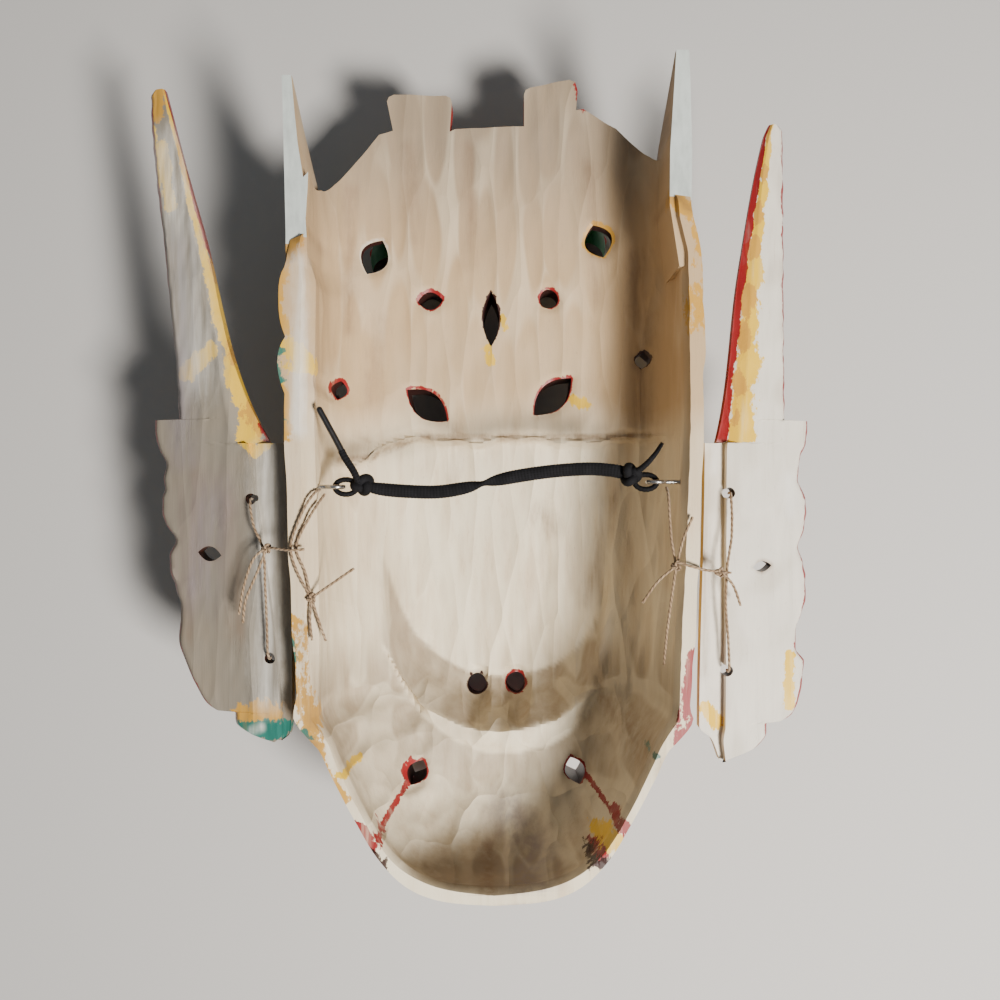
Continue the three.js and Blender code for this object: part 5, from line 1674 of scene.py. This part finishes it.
@dataclass
class Twine:
    """Twisted brown twine: strands along their routes in mm, and a knot where they meet."""

    node: str
    strands: tuple[Pairs, ...]
    knot: tuple[float, float, float] | None = None
    lay: str = "taut"
    thickness: float = 1.3
    pitch: float = 2.6
    fibre: Fibre = Fibre((0.26, 0.17, 0.10), (0.50, 0.37, 0.24))

    def strand(self, name: str, route: Pairs) -> tuple[bpy.types.Object, Array]:
        """One strand of two plies.

        The section's radius swells by a tenth where the angle less the turn along the strand faces a ply, and
        the strand is a little thicker and thinner along its length.
        """
        rough = smooth_path(route, 40)
        length = measured(rough) * 1000.0
        path = smooth_path(route, max(30, int(length / 0.42)))
        path = path + 0.10 * noise(path, 3.0, len(name))[:, None] * np.array([0.6, 0.6, 0.4])
        twist = lambda s, a: np.cos(2 * (a - math.pi * s * length / self.pitch))
        relief = lambda s, a: 0.13 * twist(s, a) - 0.09
        wander = lambda s: 0.5 * self.thickness * (1 + 0.05 * np.sin(s * length * 0.9))
        level = abs(path[-1, 2] - path[0, 2]) < length * 0.8
        form = tube(path, wander, (0.13, 0.21, 1.0) if level else (1, 0, 0), 12, relief=relief)
        piece = make_object(name, form.mesh(name, tidy=0.0002))
        # Groove depth between the plies, for their painted shade.
        dress_yarn(piece, form, self.fibre, lambda s, a: 0.5 - 0.5 * twist(s, a), len(path),
                   12)
        return piece, path

    def build(self) -> list[bpy.types.Object]:
        made = [self.strand("%s_strand_%d" % (self.node, n), route)
                for n, route in enumerate(self.strands, 1)]
        extra = []
        if self.knot is not None:
            name = self.node + "_knot"
            form = trefoil(self.knot, (2.6, 2.6, 1.7), 0.62, 0.6, 12)
            knot = make_object(name, form.mesh(name, tidy=0.0002))
            # Groove depth between the knot's plies, for their painted shade.
            plies = lambda s, a: 0.5 + 0.5 * np.cos(2 * a - 80 * s)
            dress_yarn(knot, form, self.fibre, plies, 121, 12)
            extra.append(knot)
        long = [(piece, path) for piece, path in made if measured(path) >= 0.031]
        extra += [piece for piece, path in made if measured(path) < 0.031]
        for n, (piece, path) in enumerate(long):
            with_pieces = extra if n == 0 else ()
        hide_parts(self.node)
        return [piece for piece, _ in made] + extra


@dataclass
class Lace:
    """The black braided hanging lace: a flat run between the screw eyes, loops, knots and two tails."""

    node: str = "hanging_lace"
    run: Pairs = ((-60, 6.4, 101), (-52, 5, 99.4), (-40, 4, 97.6), (-26, 3.8, 96.2), (-14, 5.6, 95.5),
                  (-4, 8, 95.3),
                  (8, 10.6, 95.5), (22, 12.8, 96), (34, 14, 96.8), (46, 14.4, 98.2), (56, 13.4, 100),
                  (62, 12, 101))
    left_tail: Pairs = ((-62, 8, 103.5), (-64, 13, 106), (-67.6, 19, 107.6), (-69.4, 22.6, 108.1))
    aglet: Pairs = ((-68.2, 20.2, 107.8), (-71, 26, 108.6), (-75.2, 34, 109.8), (-79.4, 42, 111))
    right_tail: Pairs = ((64, 12, 103.5), (68.5, 15.5, 105.5), (73, 20.5, 107), (76.5, 26, 108))
    knots: Pairs = ((-60.5, 7, 101.3), (63, 11.6, 101.3))
    rings: Pairs = ((-69.1, 6, 101), (70.7, 8.3, 101))
    width: float = 6.4
    flat: float = 1.4
    fibre: Fibre = Fibre((0.004, 0.004, 0.005), (0.014, 0.014, 0.017), 0.0)

    def braid(self, name: str, path: Array, wide: Curve, tall: Curve,
              turned: Sequence[float], twist: Curve | None = None, looped: bool = False,
              sides: int = 32) -> bpy.types.Object:
        """A tubular braid: strands that wind both ways and cross.

        The section swells by the product of two waves, one along each winding direction, so it forms small
        pillows in a diamond pattern.
        """
        length = measured(path) * 1000.0
        over = lambda s, a: np.cos(8 * a + s * length * 2.1) * np.cos(8 * a - s * length * 2.1)
        relief = lambda s, a: 0.075 * over(s, a) - 0.06
        form = tube(path, wide, turned, sides, tall, twist, relief, looped)
        piece = make_object(name, form.mesh(name, tidy=0.0002))
        # Groove depth between the braid's strands, for their painted shade.
        dress_yarn(piece, form, self.fibre, lambda s, a: 0.5 - 0.5 * over(s, a), len(path),
                   sides)
        return piece

    def build(self) -> list[bpy.types.Object]:
        path = smooth_path(self.run, 380)
        pinch = lambda s: 1.0 - 0.34 * np.exp(-(((s - 0.45) / 0.06) ** 2)) - 0.25 * np.exp(-((s / 0.05) ** 2))
        turn = lambda s: 0.15 * np.sin(5 * s) + math.pi * smoothstep(0.39, 0.51, s)
        run = self.braid("lace_run", path, lambda s: 0.5 * self.width * pinch(s),
                         lambda s: self.flat * (1.15 - 0.3 * pinch(s)),
                         (0.05, 1.0, 0.1), turn)
        pieces = []
        spin = np.linspace(0, 2 * math.pi, 90, endpoint=False)
        for n, (x, y, z) in enumerate(self.rings):
            side = (-1, 1)[n]
            ring = np.c_[x + 5.0 * np.cos(spin) - side * 0.8, y + 3.4 * np.sin(spin),
                         z + 0.5 * np.cos(spin) * side]
            pieces.append(self.braid("lace_loop_%d" % (n + 1), ring, steady(1.5), steady(1.25), (0, 0, 1),
                                     looped=True, sides=20))
        for n, (x, y, z) in enumerate(self.knots):
            bumps = lambda s, a: 0.05 * np.cos(6 * a + 150 * s) * np.cos(6 * a - 150 * s) - 0.03
            form = trefoil((x, y, z), (6.0, 5.4, 4.3), 2.15, 0.4 + n, 20, bumps)
            knot = make_object("lace_knot_%d" % (n + 1), form.mesh("knot", tidy=0.0002))
            dress_yarn(knot, form, self.fibre, lambda s, a: np.full_like(s, 0.3), 121, 20)
            pieces.append(knot)
        tail = self.braid("lace_left_tail", smooth_path(self.left_tail, 90), steady(2.0), steady(1.7),
                          (0, 0, 1), sides=24)
        flare = lambda s: 1.5 + 1.5 * smoothstep(0.55, 1.0, s)
        end = self.braid("lace_right_tail", smooth_path(self.right_tail, 110), flare,
                         lambda s: 1.6 - 0.7 * s, (0, 0, 1),
                         sides=24)
        blunt = lambda size: lambda s: size * np.sqrt(1 - np.clip((s - 0.94) / 0.062, 0, 1) ** 2 * 0.97)
        tip = tube(smooth_path(self.aglet, 60), blunt(1.75), (0, 0, 1), 24, blunt(1.45))
        aglet = make_object("lace_aglet", tip.mesh("lace_aglet"))
        paint_slots(aglet, [Paint((0.012, 0.012, 0.014), 0.0, 0.34,
                                  (0.05, 0.05, 0.05)).material("lace_aglet")])
        smooth_faces(aglet, 50)
        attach(aglet, "root")
        pieces += [tail, end, aglet]
        self.width / 1000.0
        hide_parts(self.node)
        return [run, *pieces]


@dataclass(frozen=True)
class Studio:
    """Camera, floor and lights."""

    eye: tuple[float, float, float] = (0.01065, -0.01405, 0.562)
    lens: float = 36.0
    to_light: tuple[float, float, float] = (0.52, -0.44, 1.0)

    def build(self) -> None:
        """Sets the camera where the photograph was taken from, the floor and the soft lights."""
        camera = bpy.data.objects.new("camera", bpy.data.cameras.new("camera"))
        camera.data.lens, camera.data.sensor_width = self.lens, 36.0
        camera.location = self.eye
        bpy.context.scene.collection.objects.link(camera)
        bpy.context.scene.camera = camera
        floor = make_object("floor", Form(np.array([(-3000, -3000, 0), (3000, -3000, 0), (3000, 3000, 0),
                                                    (-3000, 3000, 0)], float), [[0, 1, 2, 3]]).mesh("floor"))
        tree = Tree("floor")
        paint_slots(floor, [tree.finish((0.52, 0.515, 0.51), 0.8)])
        self.lamp("key", np.array(self.to_light) * 1.15, 0.30, 42.0, (1.0, 0.945, 0.87))
        self.lamp("fill", np.array((-0.9, 0.5, 1.4)), 1.4, 1.0, (0.93, 0.96, 1.0))
        world = bpy.data.worlds.new("studio")
        bpy.context.scene.world = world
        world.use_nodes = True
        world.node_tree.nodes["Background"].inputs[0].default_value = (0.9, 0.95, 1.0, 1.0)
        world.node_tree.nodes["Background"].inputs[1].default_value = 0.12

    def lamp(self, name: str, place: Array, size: float, power_w: float, tone: Tone) -> None:
        """A square soft light that faces the mask."""
        data = bpy.data.lights.new(name, "AREA")
        data.size, data.energy, data.color = size, power_w, tone
        lamp = bpy.data.objects.new(name, data)
        lamp.location = tuple(place)
        away = np.array(place, float)
        lamp.rotation_euler = (math.atan2(math.hypot(away[0], away[1]), away[2]), 0.0,
                               math.atan2(away[0], -away[1]))
        bpy.context.scene.collection.objects.link(lamp)


@dataclass(frozen=True)
class EyePaint:
    """A painted eyeball: white, a red ring and a black pupil, by distance from the nearer eye's middle."""

    centres: tuple[tuple[float, float], tuple[float, float]] = ((-36.0, 50.0), (32.0, 50.0))
    pupil: float = 12.5
    ring: float = 15.0

    def material(self, name: str) -> bpy.types.Material:
        """Makes the material."""
        tree = Tree(name)
        brush = tree.noise(500.0, (1, 1, 1), 3.0)
        apart = []
        for x, y in self.centres:
            middle = ((x - MIDDLE[0]) / 1000.0, (y - MIDDLE[1]) / 1000.0, 0.0)
            level = tree.add("ShaderNodeVectorMath", {"operation": "MULTIPLY"},
                             {0: tree.place(), 1: (1, 1, 0)})
            node = tree.add("ShaderNodeVectorMath", {"operation": "DISTANCE"},
                            {0: level.outputs[0], 1: middle})
            apart.append(Value(tree, node.outputs["Value"]) * 1000.0)
        near = apart[0].least(apart[1]) + (brush - 0.5) * 1.2
        colour = tree.mix((0.012, 0.011, 0.010), (0.45, 0.03, 0.02),
                          near.step(self.pupil - 0.3, self.pupil + 0.3))
        colour = colour.to((0.66, 0.64, 0.56), near.step(self.ring - 0.3, self.ring + 0.3))
        colour = colour.to((0.3, 0.24, 0.16), tree.noise(70.0).step(0.5, 0.9) * 0.35)
        return tree.finish(colour, brush * 0.15 + 0.3)


def painted_face() -> list[Stain]:
    """Paint that has run, dripped and wiped onto the rim and into the hollow, the wood's own dark marks
    and a dark line of painted shade in the ledge's groove.

    Each row is a patch's line, its width and, where it isn't 1, its strength.
    """
    patches = {
        Pigment.OCHRE: (
            (((-88.7, 120.6), (-95.4, 105.8)), 4.5), (((-95.4, 104.4), (-95.4, 75.6)), 3.2),
            (((-94.5, 51.8), (-94, 27)), 2), (((81, 137.2), (87.3, 130.5)), 4.6),
            (((91.8, 128.2), (92.2, 94.5)), 2.6, 0.55), (((90.9, 93.6), (91.4, 76.5)), 4.4),
            (((-88.7, -54), (-86.4, -81), (-83.7, -108)), 3.8), (((-85, -90.9), (-81.5, -110.2)), 5),
            (((-81.9, -110.2), (-74.7, -123.8), (-67, -135)), 2.4),
        ),
        Pigment.BROWN: (
            (((-87.8, 122.4), (-94.5, 107.1)), 5), (((81.9, 137.7), (88.2, 131.4)), 4, 0.8),
            (((-87.3, -58.5), (-84.6, -90), (-81.5, -110.2)), 5), (((-3.3, -171), (-2.8, -176)), 5),
            (((23.5, -7.5), (31, -14.4)), 8, 0.7), (((-72.2, 153.8), (-73.2, 86)), 5, 0.55),
            (((-13.5, 177.1), (-12.5, 120.4)), 4, 0.5), (((48.2, 167), (53.3, 101.2)), 5, 0.45),
            (((-42.8, 177.1), (-40.8, 131.6)), 4, 0.4), (((72, 123.8), (74.5, 39.6)), 7, 0.6),
            (((-20.5, 36.1), (-22.1, 10.3)), 4, 0.4), (((-58.5, 91.8), (-62.6, 51)), 6, 0.4),
            # Painted shade: a dark line in the ledge's groove.
            (((-78, 20), (-64, 22), (-50, 28), (-40, 32.5), (0, 32.6), (50, 32.4), (78, 32.8)), 2.2, 1.2),
            (((60.1, 0), (54.9, -31.3), (47.1, -54.8)), 4, 0.5), (((53.3, -96.1), (73.5, -121.4)), 8, 0.5),
        ),
        Pigment.YELLOW: (
            (((-95.8, 90), (-95.4, 78.8)), 3, 0.9), (((-94.5, 71.1), (-94, 51.8)), 3, 0.9),
            (((-92.2, 39.6), (-92.2, 32.4)), 2.4, 0.9), (((-91.8, 60.3), (-84.2, 62.1)), 4.4),
            (((-89.9, 74.4), (-87.5, 64.8), (-85.6, 59.5), (-79.9, 58.6)), 2),
            (((91.8, 90), (91.8, 81.9)), 2.4, 0.8), (((-72.2, -123.5), (-65.4, -124.9)), 1.8, 0.9),
            (((-4, 77.3), (-1.4, 71.2)), 2.6, 0.7), (((4.2, 94.2), (5.3, 87.6)), 1.7, 0.7),
            (((40.4, 51.6), (46.6, 49.5)), 3.4, 0.85), (((49.9, -157.1), (56.3, -153.4)), 4.4),
        ),
        Pigment.GREEN: (
            (((-96.3, 67.5), (-95.8, 54)), 1.8), (((-93.2, 36.9), (-92.7, 34.2)), 1.6, 0.8),
            (((-89.5, -63), (-88.2, -72.9)), 2.2, 0.9), (((-87.3, -97.2), (-85, -106.2)), 2.2, 0.9),
            (((73.1, -115.3), (73.5, -116.7)), 1.8, 0.9),
        ),
        Pigment.PALE: (
            (((-89.5, 107.6), (-88.6, 72.3), (-87.2, 31.6)), 6),
        ),
        Pigment.RED: (
            (((-61.5, -147.4), (-54.3, -156.4)), 3.6),
            (((-38.8, -134.5), (-45.4, -144), (-51.6, -152), (-59.6, -160.5)), 1.5, 0.9),
            (((-42.5, -130.5), (-46.5, -135.5), (-42.5, -142.6)), 1.3, 0.8),
            (((41.4, -133.1), (51.1, -142.8), (64.7, -156.8)), 1.6, 0.9),
            (((58.1, -146.6), (61.3, -149.4)), 3.4), (((46.7, -162.5), (50.8, -159.8)), 3, 0.8),
            (((89.6, -70.2), (88.2, -90), (84.2, -112.5)), 4), (((87.3, -101.2), (85.1, -110.2)), 5),
            (((41.8, 208.3), (44.9, 197.1)), 3),
        ),
        Pigment.DARK: (
            (((-54.3, -159.2), (-50.7, -165.1)), 3, 0.8), (((45.4, -164.8), (51.3, -162.5)), 3.4, 0.8),
        ),
        Pigment.GREY: (
            (((5.2, -156), (20.2, -170), (12.7, -181)), 12, 0.75),
        ),
    }
    return [Stain(pigment, *row) for pigment, rows in patches.items() for row in rows]


def dress_body(piece: bpy.types.Object, body: Body) -> None:
    """Gives the body its materials and the fields that they read."""
    edges = (Pigment.OCHRE, Pigment.YELLOW, Pigment.GREEN, Pigment.RED, Pigment.BROWN)
    paints = {
        Skin.HOLLOW: BareWood(), Skin.WHITE: Paint((0.62, 0.60, 0.52)), Skin.RED: Paint((0.42, 0.03, 0.025)),
        Skin.YELLOW: Paint((0.64, 0.37, 0.05), 0.3, pigments=edges), Skin.GREEN: Paint((0.03, 0.17, 0.07)),
        Skin.BLACK: Paint((0.02, 0.02, 0.02), 0.1), Skin.HOLE: Paint((0.05, 0.016, 0.013), 0.0),
        Skin.BLUE_WHITE: Paint((0.58, 0.64, 0.62), 0.1), Skin.TEAL: Paint((0.015, 0.19, 0.21)),
        Skin.EYE: EyePaint(),
    }
    paint_slots(piece, [paints[skin].material("body_" + skin.name.lower()) for skin in Skin])
    places = corners_of(piece)
    x, y = places[:, 0], places[:, 1]
    sides = smoothstep(40, 75, np.abs(x)) * smoothstep(-120, 0, y)
    set_field(piece, "warm", smoothstep(20, 60, y) * 1.1 + 0.4 * sides)
    torn = smoothstep(46, 54, x) * smoothstep(80, 66, x) * smoothstep(-130, -110, y) * smoothstep(10, -10, y)
    # Painted shade on the hollow's floor, kept off the rim.
    set_field(piece, "aged", body.hollow.age(x, y) * smoothstep(RIM_Z - 1.0, RIM_Z - 7.0, places[:, 2]))
    set_field(piece, "torn", np.maximum(torn, 0.4 * smoothstep(0.3, 0.9, noise(places[:, :2], 30.0, 77))))
    chin = smoothstep(-88.0, -98.0, y) * smoothstep(0.0, 6.0, np.hypot(x - 1, y + 60) - 46)
    set_field(piece, "scaled", chin)
    below = smoothstep(RIM_Z - 1.0, RIM_Z - 7.0, places[:, 2])
    set_field(piece, "flat", below * (0.75 + 0.25 * smoothstep(34, 28, y)))
    stains = [Stain(h.edge, h.line() + (0.1, 0.7), h.stain * 0.7, 0.9) for h in body.holes()]
    on_rim = lambda stain: abs(stain.line[0][0]) > 76 and stain.pigment is not Pigment.BROWN
    rims = [replace(stain, runs=13.0) if on_rim(stain) else stain for stain in painted_face()]
    lay_stains(piece, [*stains, *rims], tuple(Pigment))
    smooth_faces(piece)


def side_panels() -> list[SidePanel]:
    """Both side boards, seen from behind, with the smears on their backs and the left board's painted shade.
    """
    yellow, ochre, green, pale = Pigment.YELLOW, Pigment.OCHRE, Pigment.GREEN, Pigment.PALE
    brown, grey = Pigment.BROWN, Pigment.GREY
    left = SidePanel(
        "left_ear_panel", -1,
        outer=((-111.5, 104), (-109, 114), (-104.4, 121), (-98.7, 122), (-98.5, 131.8), (-92.6, 138.6),
               (-76, 147.2),
               (-66, 150.5), (-52, 149.6), (-42, 152), (-33.3, 155), (-27, 155.5), (-19, 152.2), (-11, 157.5),
               (-4.8, 159.3), (1, 159), (4.8, 157.9), (10, 158.4), (16.7, 157), (25, 161), (33.4, 163.1),
               (38, 163.1),
               (38.2, 150.7), (109.6, 156.9), (193, 165.2), (195.6, 163.5)),
        inner=((-111.5, 98.5), (-108, 94.6), (-92, 93.4), (26.4, 96.8), (26.6, 104.8), (132.6, 139.3),
               (195.6, 157)),
        step=((-111.5, 101), (-108, 97.6), (-92, 98.7), (23, 114.6), (26.4, 115.4), (26.6, 121), (80, 131),
              (132.6, 143.5), (195.6, 158)),
        hole=(133.5, -25.2, 12, 7, 0.12), twine_holes=((112.8, 0.5), (103.5, -73)),
        stains=(
            Stain(yellow, ((-163, 178), (-160, 150)), 2.0, 0.8), Stain(yellow, ((-133, 70), (-145, 60)), 4.5),
            Stain(yellow, ((-118.5, 30.5), (-112, 22), (-105, 27)), 2.6),
            Stain(ochre, ((-104, -98), (-118, -103)), 7),
            Stain(green, ((-98, -106), (-120, -107)), 5), Stain(pale, ((-108, -105), (-112, -107)), 3),
            Stain(brown, ((-150, -60), (-140, 10)), 14, 0.5), Stain(brown, ((-120, -60), (-124, 0)), 9, 0.5),
            Stain(ochre, ((-161, 196), (-163, 184)), 6), Stain(yellow, ((-158, 168), (-154, 140)), 3.4, 0.9),
            Stain(grey, ((-150, 120), (-148, 50), (-146, 20)), 10, 0.8),
            Stain(grey, ((-140, -40), (-133, 0)), 18, 0.7),
            # These pale patches lift the left board's painted shade along its tongue and spike.
            Stain(pale, ((-106, 22), (-105, -92)), 9, 0.8), Stain(pale, ((-156, 165), (-140, 60)), 15, 0.8),
        # Painted shade: the left board's wood is darker than the right's because it leans away from the
        # light.
        ), seed=31, wood=(0.25, 0.222, 0.178), yellow=(0.48, 0.4), red_from=0.78)
    right = SidePanel(
        "right_ear_panel", 1,
        outer=((-121, 108), (-116, 122.5), (-110.4, 128.1), (-104.4, 128.6), (-104.2, 132), (-104, 136),
               (-100, 142.2),
               (-89.8, 146), (-76, 147.4), (-74, 146), (-71, 143.6), (-61.5, 143.2), (-52, 147), (-45, 148.4),
               (-37.8, 148.4), (-30, 147), (-22.2, 144.6), (-14.2, 147.4), (-6, 148.6), (0, 148.4),
               (9.5, 144.6),
               (15, 144.8), (21.3, 146), (28, 148.6), (35.5, 149.3), (37.4, 149.3), (37.6, 137.6),
               (174, 136.4),
               (176, 134.6)),
        inner=((-121, 105), (-111, 101), (-105, 95), (20.7, 97.6), (26.4, 97.6), (26.6, 103.5), (107, 114.5),
               (170, 126.4), (176, 129)),
        step=((-121, 107), (-111, 106), (-105, 107), (22, 107.6), (26.4, 108), (26.6, 114), (107, 121),
              (170, 128.6),
              (176, 130.5)),
        hole=(125, -31, 9.5, 5, 0.1), twine_holes=((109, 3.2), (108, -79)),
        stains=(
            Stain(yellow, ((139, -73), (138.5, -96)), 3.0), Stain(pale, ((138.5, 9), (141, -4)), 6),
            Stain(yellow, ((99, -97), (103, -103)), 4), Stain(pale, ((104, 24), (102, 14)), 4),
            Stain(brown, ((98, 20), (97, -80)), 4, 0.6),
        ), seed=57, wood=(0.76, 0.72, 0.63), yellow=(0.0, 0.62), red_from=0.5)
    return [left, right]


def screw_eyes() -> list[ScrewEye]:
    """The two steel screw eyes."""
    return [ScrewEye("left_screw_eye", -1, (-73.0, 6.0, RIM_Z - 11), -82.0),
            ScrewEye("right_screw_eye", 1, (74.6, 8.3, RIM_Z - 11), 86.2)]


def twines() -> list[Twine]:
    """Every twine lashing, on the routes of its solids."""
    return [
        Twine("left_body_twine", (
            ((-79.6, 4.6, 104.5), (-80.8, 3.6, 109.4), (-83.6, -1, 113.4), (-88, -10, 113.3),
             (-91.2, -20.5, 113.4),
             (-90, -28, 113.3), (-85.5, -38, 113.3), (-82, -44, 112.5)),
            ((-77.6, 2.6, 104), (-80, -2, 109), (-83, -8, 113), (-88.8, -21.5, 113), (-85, -32, 113),
             (-82, -44, 112.6),
             (-79.4, -54, 110.4), (-76.4, -64, 108)),
            ((-82, -44, 112.6), (-74, -38.5, 113.5), (-62.6, -30.6, 114.6)),
            ((-82, -44, 112.6), (-82.6, -54, 113), (-81.6, -63, 113.4)),
        ), (-82, -44, 112.6)),
        Twine("right_body_twine", (
            ((79.5, 5.8, 100), (79.6, 2, 105), (79.8, -10, 108.4), (80.4, -20, 110.5), (82, -29.6, 112.4)),
            ((82, -29.6, 112.4), (80.4, -44, 109.4), (79, -60, 105.4), (78.4, -76, 100.4)),
            ((82, -29.6, 112.4), (74, -36, 113.6), (66.4, -46, 114.6)),
            ((82, -29.6, 112.4), (85, -17, 114.2), (89, -7.5, 114.4)),
        ), (82, -29.6, 112.4)),
        Twine("left_panel_twine", (
            ((-112.8, 0.5, 96), (-112.8, 0.4, 99.8), (-112.3, -2, 102), (-110, -12, 104.3),
             (-105.6, -22, 105.6),
             (-104.6, -40, 105), (-104, -60, 103.8), (-103.7, -70, 103.8), (-103.5, -72.8, 102),
             (-103.5, -73, 98.4)),
        )),
        Twine("right_panel_twine", (
            ((109, 3.2, 97), (109, 3.1, 100.8), (108.9, 0.4, 103), (108.6, -16, 105), (106.4, -30, 106.2),
             (106, -48, 105), (107.4, -66, 103.8), (107.9, -76, 103.2), (108, -78.8, 101.2),
             (108, -79, 97.4)),
        )),
        Twine("left_cross_tie", (
            ((-84.6, -22, 115.4), (-90, -22.4, 116), (-97, -22, 112.6), (-103, -22, 109.2),
             (-108.6, -26, 108.2),
             (-113.4, -38, 107.6), (-116, -52, 107.4)),
            ((-103, -22, 109.2), (-108, -34, 108), (-113, -46, 107.6), (-114.2, -56, 107.4)),
        ), (-103, -22, 109.2)),
        Twine("right_cross_tie", (
            ((81.4, -27.4, 115.8), (88, -29.6, 116.4), (96, -31.6, 113.4), (102, -32.6, 110.6),
             (108, -38, 109),
             (112, -48, 107.4)),
            ((102, -32.6, 110.6), (107.2, -33, 109.4)),
        ), (102, -32.6, 110.6)),
    ]


def main() -> None:
    """Builds the scene's parts in order and reports each."""
    logging.basicConfig(level=logging.INFO, format="%(message)s")
    Studio().build()
    log.info("studio built")
    lace = Lace().build()
    log.info("lace: %d pieces", len(lace))
    for twine in twines():
        log.info("%s: %d pieces", twine.node, len(twine.build()))
    for eye in screw_eyes():
        log.info("screw eye: %d faces", len(eye.build().data.polygons))
    for panel in side_panels():
        log.info("%s: %d faces", panel.node, len(panel.build().data.polygons))
    body = Body()
    piece = body.build()
    dress_body(piece, body)
    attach(piece, "root")
    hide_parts("mask_body")
    log.info("body: %d faces", len(piece.data.polygons))


if __name__ == "__main__":
    main()
